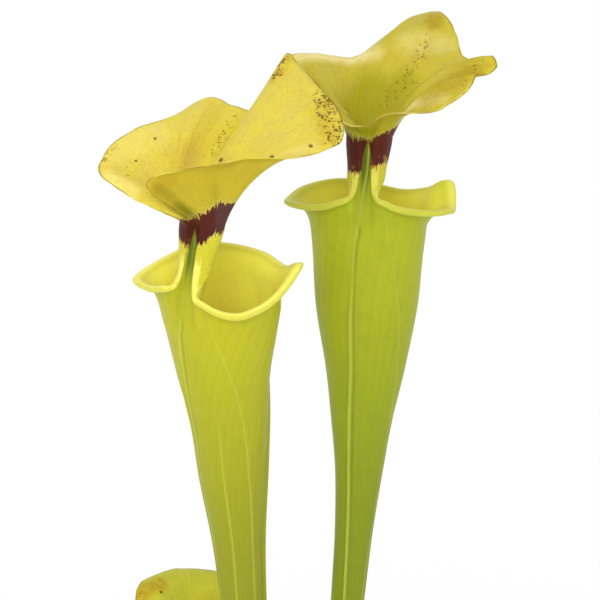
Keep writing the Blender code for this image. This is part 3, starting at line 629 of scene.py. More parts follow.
def curve_at(knots, values, where, period=None):
    """Reads a smooth curve through values at knots; a period makes it close on itself."""
    knots = np.asarray(knots, float)
    values = np.asarray(values, float)
    if period:
        knots = np.concatenate([knots[-2:] - period, knots, knots[:2] + period])
        values = np.concatenate([values[-2:], values, values[:2]])
        where = knots[2] + (np.asarray(where, float) - knots[2]) % period
    where = np.asarray(where, float)
    slopes = np.gradient(values, knots, axis=0)
    index = np.clip(np.searchsorted(knots, where, side="right") - 1, 0, len(knots) - 2)
    step = knots[index + 1] - knots[index]
    t = ((where - knots[index]) / step)[..., None]
    step = step[..., None]
    flat = values.ndim == 1
    if flat:
        values = values[:, None]
        slopes = slopes[:, None]
    near, far = values[index], values[index + 1]
    near_slope, far_slope = slopes[index] * step, slopes[index + 1] * step
    result = (
        (2 * t**3 - 3 * t**2 + 1) * near
        + (t**3 - 2 * t**2 + t) * near_slope
        + (3 * t**2 - 2 * t**3) * far
        + (t**3 - t**2) * far_slope
    )
    return result[..., 0] if flat else result


def bezier(p0, p1, p2, p3, t):
    """A point on the curve that leaves p0 towards p1 and reaches p3 from p2."""
    return (1 - t) ** 3 * p0 + 3 * (1 - t) ** 2 * t * p1 + 3 * (1 - t) * t**2 * p2 + t**3 * p3


def unit(vectors):
    """Each vector at length 1."""
    length = np.linalg.norm(vectors, axis=-1, keepdims=True)
    return vectors / np.maximum(length, 1e-9)


def ring_frame(tangent):
    """Unit vectors to the right, away and up of a ring square to the tube."""
    up = unit(np.asarray(tangent, float))
    right = unit(np.array([1.0, 0.0, 0.0]) - up[0] * up)
    return right, np.cross(up, right), up


def spokes(right, away, angles):
    """Unit vectors outwards at angles round a ring, counted from the near side."""
    return right * np.sin(angles)[:, None] - away * np.cos(angles)[:, None]


class Tube:
    """The tube's axis, radius and twist, read by height."""

    def __init__(self, spec):
        self.stations = np.array(spec["tube"])
        self.heights = self.stations[:, 2]
        self.foot, self.top = self.heights[0], self.heights[-1]

    def at(self, height):
        """The axis point, the ring's frame, the radius and the turn of the back rib at a height."""
        x, y, z, radius, turn = curve_at(self.heights, self.stations, height)
        ahead = curve_at(self.heights, self.stations, min(height + 1.0, self.top))
        behind = curve_at(self.heights, self.stations, max(height - 1.0, self.foot))
        return np.array([x, y, z]), ring_frame((ahead - behind)[:3]), radius, math.radians(turn)

    def ring(self, height, angles, inset=0.0):
        """Points round the wall; angles run from the back rib, and inset moves them inwards."""
        centre, (right, away, _), radius, turn = self.at(height)
        share = (height - self.foot) / (self.top - self.foot)
        fade = 0.0 if inset else smooth_step((share - RELIEF_START) / RELIEF_FADE)
        radii = radius - inset + fade * wall_relief(angles, radius)
        return centre + spokes(right, away, angles + turn) * radii[:, None]


def wall_relief(angles, radius):
    """The raised back rib, the front wing and the soft folds."""
    back = np.exp(-((np.degrees(angles) / RIB_ANGLE) ** 2))
    front_angle = (np.degrees(angles) % 360.0) - 180.0
    front = np.exp(-((front_angle / WING_ANGLE) ** 2))
    folds = FOLD_DEPTH * radius * np.cos(FOLDS * angles + FOLD_TURN)
    return MIDRIB_HEIGHT * back + FRONT_WING_HEIGHT * front + folds


def column_angles(window_cells, ring_cells):
    """Angles round the tube: even cells across the window behind, and even cells round the rest."""
    half = math.radians(WINDOW_ANGLE)
    window = np.linspace(-half, half, window_cells + 1)
    rest = np.linspace(half, 2 * math.pi - half, ring_cells - window_cells + 1)[1:-1]
    return np.concatenate([window, rest])


class Lip:
    """The lip's cross-sections: each leaves the wall, sweeps out, droops and ends in a roll."""

    def __init__(self, spec, tube, angles):
        scale = spec["scale"]
        lip = np.array(spec["lip"])
        degrees = np.degrees(angles)
        reach = curve_at(lip[:, 0], lip[:, 1], degrees, 360.0) * scale
        height = curve_at(lip[:, 0], lip[:, 2], degrees, 360.0) * scale
        self.centre, (right, away, self.up), _, turn = tube.at(tube.top)
        self.around = spokes(right, away, angles + turn)
        foot = tube.ring(tube.top - FLARE_START * scale, angles, WALL / 2) - self.centre
        self.start = np.stack([np.sum(foot * self.around, axis=1), foot @ self.up], axis=1)
        self.end = np.stack([reach, height], axis=1)
        spread, rise = (self.end - self.start).T
        droop = np.full_like(rise, LIP_DROOP * scale)
        self.first = self.start + np.stack([LIP_SWEEP * spread, LIP_RISE * rise], axis=1)
        self.second = self.end + np.stack([-LIP_ROUND * spread - LIP_INSET * scale, droop], axis=1)
        thinning = LIP_THINNING * np.clip(reach / scale - LIP_THIN_FROM, 0.0, LIP_THIN_SPAN)
        self.roll = LIP_ROLL * math.sqrt(scale) * (1.0 - thinning)

    def middle(self, t):
        """The middle line at one share of its length, as reach from the axis and height over the mouth."""
        return bezier(self.start, self.first, self.second, self.end, t)

    def side(self, t):
        """The middle line at one share of it, the ways along and outwards, and half the wall there."""
        along = unit(self.middle(min(t + LIP_STEP, 1.0)) - self.middle(max(t - LIP_STEP, 0.0)))
        outward = np.stack([along[:, 1], -along[:, 0]], axis=1)
        half = WALL / 2 + (self.roll[:, None] - WALL / 2) * t**LIP_SWELL
        return self.middle(t), along, outward, half

    def lay(self, flat):
        """Points of the cross-sections put where they stand round the mouth."""
        return self.centre + self.around * flat[:, :1] + self.up * flat[:, 1:]

    def rings(self, side_rows, edge_rows, top_rows):
        """Rings from the wall under the lip, round its edge and back inside, and each one's share."""
        rings = []
        for step in range(side_rows + 1):
            flat, _, outward, half = self.side(step / side_rows)
            rings.append((self.lay(flat + outward * half), step / side_rows))
        flat, along, outward, half = self.side(1.0)
        for step in range(1, edge_rows):
            bend = math.pi * step / edge_rows
            edge = flat + outward * half * math.cos(bend) + along * half * math.sin(bend)
            rings.append((self.lay(edge), 1.0))
        for step in range(top_rows + 1):
            flat, _, outward, half = self.side(1.0 - step / top_rows)
            rings.append((self.lay(flat - outward * half), 1.0 - step / top_rows))
        return rings


def neck_ring(spec, share, parts, neck_axes):
    """Points round the neck: a groove behind with the green strip in it, the rolled flaps and the front."""
    strip_cells, side_cells, edge_cell = parts
    scale = spec["scale"]
    right, away = neck_axes
    flare = smooth_step((share - NECK_FLARE_FROM) / (1.0 - NECK_FLARE_FROM))
    half_width = (NECK_HALF_WIDTH + (spec["throat_half_width"] - NECK_HALF_WIDTH) * flare) * scale
    half_depth = (NECK_HALF_DEPTH + (THROAT_HALF_DEPTH - NECK_HALF_DEPTH) * flare) * scale
    narrowing = smooth_step(share * GROOVE_NARROWING)
    groove = (GROOVE_FOOT_HALF_WIDTH + (GROOVE_TOP_HALF_WIDTH - GROOVE_FOOT_HALF_WIDTH) * narrowing) * scale
    edge_angle = math.radians(FLAP_EDGE_ANGLE) + math.asin(groove / half_width) * FLAP_EDGE_SPREAD
    front_angle = math.radians(NECK_FRONT_ANGLE)
    strip_back = half_depth - GROOVE_DEPTH * scale * smooth_step(share * GROOVE_DEEPENING)

    def on_oval(angle):
        return np.array([half_width * math.sin(angle), -half_depth * math.cos(angle)])

    strip = []
    for cell in range(strip_cells + 1):
        across = 2.0 * cell / strip_cells - 1.0
        rib = MIDRIB_HEIGHT * scale * (1.0 - abs(across)) ** 2
        strip.append(np.array([across * groove, -strip_back - rib]))
    edge = on_oval(edge_angle)
    side = []
    for cell in range(1, side_cells):
        if cell <= edge_cell:
            side.append(strip[-1] + (edge - strip[-1]) * cell / edge_cell)
        else:
            share_round = (cell - edge_cell) / (side_cells - edge_cell)
            side.append(on_oval(edge_angle + (front_angle - edge_angle) * share_round))
    front_step = 2.0 * (math.pi - front_angle) / strip_cells
    front = [on_oval(front_angle + front_step * cell) for cell in range(strip_cells + 1)]
    mirrored = [np.array([-p[0], p[1]]) for p in reversed(side)]
    flat = np.array(strip + side + front + mirrored)
    return right * (flat[:, :1] + spec["neck_shift"] * share) + away * flat[:, 1:]


def relax(points, faces, near, radius, rounds):
    """Evens out the points close to a place, so that the neck flows into the lip."""
    reach = np.linalg.norm(points - near, axis=1)
    weight = np.clip(RELAX_CORE * (1.0 - reach / radius), 0.0, RELAX_STRENGTH)[:, None]
    edges = np.concatenate([faces[:, [0, 1]], faces[:, [1, 2]], faces[:, [2, 3]], faces[:, [3, 0]]])
    edges = edges[(weight[edges[:, 0], 0] > 0.0) & (edges[:, 0] != edges[:, 1])]
    count = np.bincount(edges[:, 0], minlength=len(points))
    for _ in range(rounds):
        moved = points[edges[:, 1]]
        total = np.stack([np.bincount(edges[:, 0], moved[:, axis], len(points)) for axis in range(3)], axis=1)
        mean = total / np.maximum(count, 1)[:, None]
        points = np.where(count[:, None] > 0, points + (mean - points) * weight, points)
    return points


def grid_normals(grid):
    """Unit normals of a grid of points that closes on itself along its second axis."""
    down = np.gradient(grid, axis=0)
    across = np.roll(grid, -1, axis=1) - np.roll(grid, 1, axis=1)
    return unit(np.cross(across, down))


def lid_margin(spec, strip_cells, columns):
    """The lid's edge for each column of the neck, in order from the left end of the groove's strip."""
    table = np.array(spec["lid"])
    lobes = columns - (strip_cells + 1)
    where = np.linspace(0.0, len(table) - 1.0, lobes + 2)[1:-1]
    edge = curve_at(np.arange(len(table)), table, where)
    share = np.linspace(0.0, 1.0, strip_cells + 1)[:, None]
    strip = table[-1] + (table[0] - table[-1]) * share
    return np.concatenate([strip, edge])


class Leaf:
    """One leaf as a grid of rings and sheets, with what each point knows about where it lies."""

    # Channels of each point, with three numbers each.
    # zone: rolled rim (painted highlight and crease shade), upper face, inside.
    # rim: lip roll, millimetres to the edge, height over the throat.
    # strip: green strip, place across it, place round the neck. marks: patch, specks, painted shadow.
    # wash: painted trough shading, pale, ochre that is partly painted shade. ring: sideways and backwards
    # from the tube's axis, share of its height.
    # strand: sine and cosine of its place round the neck, height over the throat.
    # midrib, vein_second, vein_third: sine and cosine of where the vein runs, how strong it is.
    VEINS = ("midrib", "vein_second", "vein_third")
    CHANNELS = ("zone", "rim", "strip", "marks", "wash", "ring", "strand", *VEINS)
    INSIDE = (0.0, 0.0, 1.0)

    def __init__(self, name, refine):
        self.spec = PITCHERS[name]
        self.marks = LEAF_MARKS[name]
        self.scale = self.spec["scale"]
        self.tube = Tube(self.spec)
        self.flare = FLARE_START * self.scale
        self.throat = np.array(self.spec["throat"])
        self.window = WINDOW_CELLS * refine
        self.ring_cells = self.window + REST_CELLS * refine
        self.tube_rows = TUBE_ROWS * refine
        self.hollow_rows = HOLLOW_ROWS * refine
        self.lip_parts = (LIP_SIDE_ROWS * refine, LIP_EDGE_ROWS * refine, LIP_TOP_ROWS * refine)
        self.edge_cell = self.lip_parts[0] + self.lip_parts[1] // 2
        self.neck_rows = NECK_ROWS * refine
        self.lid_rows = LID_ROWS * refine
        self.funnel_rows = refine // 2
        self.rounds = refine * refine
        self.points = []
        self.faces = []
        self.values = {channel: [] for channel in self.CHANNELS}

    def add(self, points, **values):
        """Adds a row of points with their channels, and returns their numbers."""
        first = sum(len(row) for row in self.points)
        count = len(points)
        self.points.append(points)
        for channel in self.CHANNELS:
            given = values.get(channel, (0.0, 0.0, 0.0))
            columns = [np.broadcast_to(np.asarray(part, float), count) for part in given]
            self.values[channel].append(np.stack(columns, axis=1))
        return np.arange(first, first + count)

    def bridge(self, low, high, skip=0):
        """Joins two closed rows by faces, leaving out the first few cells."""
        cells = np.stack([low, np.roll(low, -1), np.roll(high, -1), high], axis=1)
        self.faces.append(cells[skip:])

    def fan(self, row, centre, outward):
        """Closes a row with faces that meet in one added point."""
        around = np.roll(row, -1)
        tip = np.full(len(row), centre)
        corners = (row, around, tip, tip) if outward else (around, row, tip, tip)
        self.faces.append(np.stack(corners, axis=1))

    def tube_channels(self, height, angles, turned_as=None):
        """Where a ring's points stand round the tube, and how its veins run there."""
        _, _, radius, turn = self.tube.at(height)
        if turned_as is not None:
            _, _, _, turn = self.tube.at(turned_as)
        share = (height - self.tube.foot) / (self.tube.top - self.tube.foot)
        channels = {"ring": (radius * np.sin(angles), radius * np.cos(angles), share)}
        for vein, line in zip(self.VEINS, self.marks["veins"]):
            table = np.array(sorted(line))
            azimuth = math.radians(np.interp(height, table[:, 0], table[:, 1])) - turn
            strength = smooth_step((height - table[0, 0]) / (VEIN_FADE_IN * self.scale))
            strength *= smooth_step((table[-1, 0] - height) / (VEIN_FADE_OUT * self.scale))
            channels[vein] = (math.sin(azimuth), math.cos(azimuth), strength)
        return channels

    def build_lip(self, angles, base):
        """The lip's rows of points, from the wall under it to the wall inside it."""
        rows = []
        rings = Lip(self.spec, self.tube, angles).rings(*self.lip_parts)
        for number, (ring, share) in enumerate(rings):
            channels = self.tube_channels(base + (self.tube.top - base) * share, angles, self.tube.top)
            inside = smooth_step((number - self.edge_cell) / self.lip_parts[2] * 1.5)
            gap = (1.0 - share) * self.flare
            rows.append(self.add(ring, zone=(0.0, 0.0, inside), rim=(share, gap, 0.0), **channels))
        return rows

    def build_tube(self):
        """Outer wall, lip and inner wall. Returns the loop that the neck grows from, and its side's cells."""
        tube, window = self.tube, self.window
        angles = column_angles(window, self.ring_cells)
        base = tube.top - self.flare
        hollow_floor = tube.foot + HOLLOW_FLOOR * (tube.top - tube.foot)
        rows = []
        for height in np.linspace(tube.foot, base, self.tube_rows + 1)[:-1]:
            channels = self.tube_channels(height, angles)
            rows.append(self.add(tube.ring(height, angles), **channels))
        first_lip = len(rows)
        rows += self.build_lip(angles, base)
        last_lip = len(rows) - 1
        for height in np.linspace(base, hollow_floor, self.hollow_rows + 1)[1:]:
            channels = self.tube_channels(height, angles)
            channels["rim"] = (0.0, self.flare + base - height, 0.0)
            rows.append(self.add(tube.ring(height, angles, WALL), zone=self.INSIDE, **channels))
        for number in range(len(rows) - 1):
            opened = first_lip <= number < last_lip
            self.bridge(rows[number], rows[number + 1], window if opened else 0)
        foot = self.add(tube.at(tube.foot)[0][None, :])[0]
        floor = self.add(tube.at(hollow_floor)[0][None, :], zone=self.INSIDE)[0]
        self.fan(rows[0], foot, False)
        self.fan(rows[-1], floor, True)
        loop = list(rows[first_lip][: window + 1])
        loop += [rows[row][window] for row in range(first_lip + 1, last_lip + 1)]
        loop += list(rows[last_lip][window - 1 :: -1])
        loop += [rows[row][0] for row in range(last_lip - 1, first_lip, -1)]
        return np.array(loop), last_lip - first_lip

    def place_columns(self, loop, side_cells):
        """Where each column of the neck and lid stands: its axes, its side, and how far round it is."""
        self.loop_points = np.concatenate(self.points)[loop]
        self.carried = {channel: np.concatenate(rows)[loop] for channel, rows in self.values.items()}
        mouth, (right, away, self.up), mouth_radius, turn = self.tube.at(self.tube.top)
        self.neck_right = right * math.cos(turn) + away * math.sin(turn)
        self.neck_away = away * math.cos(turn) - right * math.sin(turn)
        self.neck_foot = mouth - self.neck_away * (mouth_radius - NECK_HALF_DEPTH * self.scale)
        self.parts = (self.window, side_cells, self.edge_cell)
        count = len(loop)
        column = np.arange(count)
        self.circle = 2.0 * math.pi * column / count
        self.side = np.where(column <= count // 2 + self.window // 2, 1.0, -1.0)
        self.on_strip = column <= self.window
        beyond = np.minimum(column - self.window, count - column)
        past_edge = np.clip(beyond / self.edge_cell, 0.0, 1.0)
        self.share_round = np.clip((beyond - self.edge_cell) / (side_cells - self.edge_cell), 0.0, 1.0)
        self.in_strip = np.where(self.on_strip, 1.0, 1.0 - past_edge)
        self.round_place = np.where(self.on_strip, 0.0, 0.5 * past_edge + 1.5 * self.share_round)

    def neck_sheets(self):
        """The neck's sheets from the lip up to the throat, and their heights over it."""
        slow = FLAP_BLEND + (FRONT_BLEND - FLAP_BLEND) * smooth_step(self.share_round * BLEND_ROUNDING)
        along = self.throat - self.neck_foot
        sheets = []
        heights = []
        for step in range(1, self.neck_rows + 1):
            share = (step / self.neck_rows) ** NECK_CROWDING
            centre = self.neck_foot + along * share
            target = centre + neck_ring(self.spec, share, self.parts, (self.neck_right, self.neck_away))
            lifted = self.loop_points + (centre - self.neck_foot) * NECK_LIFT
            blend = smooth_step(share / slow)[:, None]
            sheets.append(lifted + (target - lifted) * blend)
            heights.append((share - 1.0) * np.linalg.norm(along))
        return sheets, heights

    def lid_sheets(self, before_throat, throat_ring):
        """Both faces of the lid, and each point's distance from the throat and to the margin."""
        count = len(throat_ring)
        margin = lid_margin(self.spec, self.window, count)
        edge = self.throat + margin[:, :3] + self.ruffle(count)
        chord = edge - throat_ring
        length = np.linalg.norm(chord, axis=1, keepdims=True)
        inward = unit(np.concatenate([chord[:, :2], 0 * chord[:, 2:]], axis=1))
        outward = unit(throat_ring - self.throat)
        arch = np.array([0.0, 0.0, 1.0]) * margin[:, 3:]
        first = throat_ring + (self.up * LID_LIFT + outward * LID_LEAN) * LID_REACH * length
        second = edge - inward * LID_OVERHANG * length + arch - chord * LID_SLACK
        shares = np.linspace(0.0, 1.0, self.lid_rows + 1)
        under = np.array([bezier(throat_ring, first, second, edge, share) for share in shares])
        normals = grid_normals(np.concatenate([[before_throat], under]))[1:]
        steps = np.linalg.norm(np.diff(under, axis=0), axis=2)
        reach = np.concatenate([np.zeros((1, count)), np.cumsum(steps, axis=0)])
        to_edge = reach[-1] - reach
        taper = smooth_step(to_edge / (EDGE_TAPER * self.scale))
        wall = LID_EDGE_WALL + (LID_WALL - LID_EDGE_WALL) * taper
        return under, under - normals * wall[..., None], reach, to_edge

    def skin_channels(self, sheet, height, grown=1.0, upper_face=0.0, strip_fade=0.0):
        """What the colours of the neck and lid need at each point of a sheet."""
        bounds = []
        for bound in ("patch_low", "patch_high"):
            sides = self.marks[bound]
            left, right = (np.interp(self.round_place, PATCH_PLACES, heights) for heights in sides)
            bounds.append(np.where(self.side > 0.0, right, left))
        patch = np.minimum(bounds[1] - height, height - bounds[0]) - OUT_OF_PATCH * upper_face
        aside = (sheet - sheet[self.window // 2]) @ self.neck_right / self.scale
        return {
            "strip": (self.in_strip * strip_fade, aside, self.round_place * self.side),
            "marks": (patch, self.wash("specks", sheet), self.wash("shadow", sheet)),
            "wash": tuple(self.wash(kind, sheet) for kind in ("trough", "pale", "ochre_and_shade")),
            "strand": (np.sin(self.circle) * grown, np.cos(self.circle) * grown, height),
        }

    def add_neck_sheet(self, sheet, height):
        """One sheet of the neck. It carries on what the lip's points know, which fades as it grows."""
        rise = np.linalg.norm(sheet - self.loop_points, axis=1)
        grown = smooth_step(rise / (NECK_FADE * self.scale))
        channels = {channel: tuple(rows.T) for channel, rows in self.carried.items()}
        channels.update(self.skin_channels(sheet, height, grown, strip_fade=1.0))
        lip, edge_gap, _ = channels["rim"]
        channels["rim"] = (lip, edge_gap + FAR_FROM_EDGE * grown, height)
        return self.add(sheet, **channels)

    def add_lid_sheet(self, sheet, height, edge_gap, upper_face, strip_fade=0.0):
        """One sheet of the lid's underside or upper face."""
        channels = self.skin_channels(sheet, height, 1.0, upper_face, strip_fade)
        channels["zone"] = (self.wash("rim", sheet), upper_face, 0.0)
        channels["rim"] = (0.0, edge_gap, height)
        return self.add(sheet, **channels)

    def build_neck_and_lid(self, loop, side_cells):
        """The neck, both faces of the lid and the funnel at its foot, grown from the loop."""
        self.place_columns(loop, side_cells)
        neck, heights = self.neck_sheets()
        under, upper, reach, to_edge = self.lid_sheets(*neck[-2:])
        rows = [loop]
        for sheet, height in zip(neck, heights):
            rows.append(self.add_neck_sheet(sheet, height))
        for row in range(1, self.lid_rows + 1):
            fade = np.clip(1.0 - reach[row] / (STRIP_FADE * self.scale), 0.0, 1.0)
            rows.append(self.add_lid_sheet(under[row], reach[row], to_edge[row], 0.0, fade))
        for row in range(self.lid_rows, -1, -1):
            rows.append(self.add_lid_sheet(upper[row], reach[row], to_edge[row], 1.0))
        funnel_foot = self.throat - (self.throat - self.neck_foot) * FUNNEL_DEPTH
        for step in range(1, self.funnel_rows + 1):
            share = step / (self.funnel_rows + 1)
            sheet = funnel_foot + (upper[0] - funnel_foot) * (1.0 - share) ** FUNNEL_EASE
            rows.append(self.add_lid_sheet(sheet, 0.0, FAR_FROM_EDGE, 1.0))
        for low, high in zip(rows, rows[1:]):
            self.bridge(low, high)
        tip = self.add(funnel_foot[None, :], zone=(1.0, 1.0, 0.0), rim=(0.0, FAR_FROM_EDGE, 0.0))[0]
        self.fan(rows[-1], tip, True)

    def wash(self, kind, points):
        """How strongly one kind of wash colours each point."""
        strength = np.zeros(len(points))
        for start, end, reach, most in self.marks[kind]:
            along = np.array(end) - np.array(start)
            from_start = points - self.throat - np.array(start)
            share = np.clip(from_start @ along / (along @ along), 0.0, 1.0)
            away = np.linalg.norm(from_start - share[:, None] * along, axis=1)
            strength = np.maximum(strength, most * smooth_step(WASH_CORE * (1.0 - away / reach)))
        return strength

    def ruffle(self, count):
        """Small seeded waves along the lid's margin."""
        random = np.random.default_rng(self.spec["ruffle_seed"])
        waves = np.zeros((count, 3))
        for beat in RUFFLE_BEATS:
            phase = random.uniform(0.0, 2.0 * math.pi, 3)
            waves += np.sin(beat * self.circle[:, None] + phase) / math.sqrt(beat)
        return np.where(self.on_strip[:, None], 0.0, waves * EDGE_RUFFLE * self.scale)

    def make(self, name):
        """Builds the leaf's object, with its channels stored on its points."""
        self.build_neck_and_lid(*self.build_tube())
        points = np.concatenate(self.points)
        faces = np.concatenate(self.faces)
        bend = self.neck_foot + self.up * RELAX_HEIGHT
        points = relax(points, faces, bend, RELAX_RADIUS * self.scale, self.rounds)
        used = np.unique(faces)
        renumber = np.full(len(points), -1)
        renumber[used] = np.arange(len(used))
        corners = [tuple(dict.fromkeys(face)) for face in renumber[faces].tolist()]
        made = mesh_object(name, points[used], corners)
        for channel, rows in self.values.items():
            add_channel(made, channel, np.concatenate(rows)[used])
        return made


def mesh_object(name, points, faces):
    """One smooth object from points in millimetres."""
    mesh = bpy.data.meshes.new(name)
    mesh.from_pydata((np.asarray(points) * MM).tolist(), [], faces)
    mesh.validate()
    mesh.shade_smooth()
    made = bpy.data.objects.new(name, mesh)
    bpy.context.scene.collection.objects.link(made)
    return made


def add_channel(made, name, values):
    """Stores three numbers for each point, for the material to read."""
    layer = made.data.attributes.new(name, "FLOAT_VECTOR", "POINT")
    layer.data.foreach_set("vector", np.ascontiguousarray(values, dtype=np.float32).ravel())


def srgb(text):
    """A colour such as D8CB3E as the linear values that shading works in."""
    parts = [int(text[place : place + 2], 16) / 255.0 for place in (0, 2, 4)]
    return tuple(part / 12.92 if part <= 0.04045 else ((part + 0.055) / 1.055) ** 2.4 for part in parts)


class Graph:
    """Builds one material; each value may be a number, a colour or another node's output."""

    def __init__(self, name):
        self.material = bpy.data.materials.new(name)
        self.material.use_nodes = True
        self.tree = self.material.node_tree
        self.shader = self.tree.nodes["Principled BSDF"]

    def put(self, socket, value):
        """Links a node's output to a socket, or sets the socket's own value."""
        if isinstance(value, bpy.types.NodeSocket):
            self.tree.links.new(value, socket)
        elif isinstance(value, tuple) and len(value) == 3 and socket.type == "RGBA":
            socket.default_value = (*value, 1.0)
        else:
            socket.default_value = value

    def add(self, kind, inputs, output=0, **settings):
        """Adds a node and returns one of its outputs."""
        node = self.tree.nodes.new(kind)
        for key, value in settings.items():
            setattr(node, key, value)
        for key, value in inputs.items():
            self.put(node.inputs[key], value)
        return node.outputs[output]

    def math(self, operation, first, second=0.0):
        return self.add("ShaderNodeMath", {0: first, 1: second}, operation=operation)

    def times(self, first, *others):
        """The product of several values."""
        for other in others:
            first = self.math("MULTIPLY", first, other)
        return first

    def plus(self, first, second):
        return self.math("ADD", first, second)

    def greater(self, first, second):
        return self.math("MAXIMUM", first, second)

    def apart(self, first, second=0.0):
        """How far two values lie apart."""
        return self.math("ABSOLUTE", self.math("SUBTRACT", first, second))

    def about_zero(self, noise, reach):
        """A noise's value moved to lie about zero, and scaled by its reach."""
        return self.times(self.math("SUBTRACT", noise, 0.5), reach)

    def axes(self, vector):
        """The three numbers of a vector."""
        node = self.tree.nodes.new("ShaderNodeSeparateXYZ")
        self.put(node.inputs[0], vector)
        return tuple(node.outputs)

    def channel(self, name):
        """The three numbers of a stored channel."""
        return self.axes(self.add("ShaderNodeAttribute", {}, "Vector", attribute_name=name))

    def vector(self, x, y, z):
        return self.add("ShaderNodeCombineXYZ", {0: x, 1: y, 2: z})

    def place(self):
        """Where a point lies in its object."""
        return self.add("ShaderNodeTexCoord", {}, "Object")

    def span(self, value, low, high):
        """0 below low, 1 above high and a soft step between; low may be the larger one."""
        flipped = low > high
        inputs = {"Value": value, "From Min": min(low, high), "From Max": max(low, high)}
        inputs.update({"To Min": 1.0 if flipped else 0.0, "To Max": 0.0 if flipped else 1.0})
        return self.add("ShaderNodeMapRange", inputs, interpolation_type="SMOOTHSTEP")

    def blend(self, factor, first, second):
        return self.add("ShaderNodeMix", {0: factor, 6: first, 7: second}, 2, data_type="RGBA")

    def coat(self, colour, tone, mask, strength=1.0):
        """Lays a tone over a colour where the mask says, at the given strength."""
        if strength != 1.0:
            mask = self.times(mask, strength)
        return self.blend(mask, colour, srgb(tone))

    def noise(self, where, scale, detail=3.0, roughness=0.55):
        inputs = {"Vector": where, "Scale": scale, "Detail": detail, "Roughness": roughness}
        return self.add("ShaderNodeTexNoise", inputs, "Fac")

    def cells(self, where, scale, feature="F1"):
        """Distance from the nearest cell's point, or from its edge."""
        inputs = {"Vector": where, "Scale": scale}
        return self.add("ShaderNodeTexVoronoi", inputs, "Distance", feature=feature)

    def bump(self, height, strength, distance):
        return self.add("ShaderNodeBump", {"Height": height, "Strength": strength, "Distance": distance})

    def finish(self, colour, roughness, normal=None, **more):
        """Connects the shader and returns the material."""
        self.put(self.shader.inputs["Base Color"], colour)
        self.put(self.shader.inputs["Roughness"], roughness)
        if normal is not None:
            self.put(self.shader.inputs["Normal"], normal)
        for key, value in more.items():
            self.put(self.shader.inputs[key.replace("_", " ")], value)
        return self.material


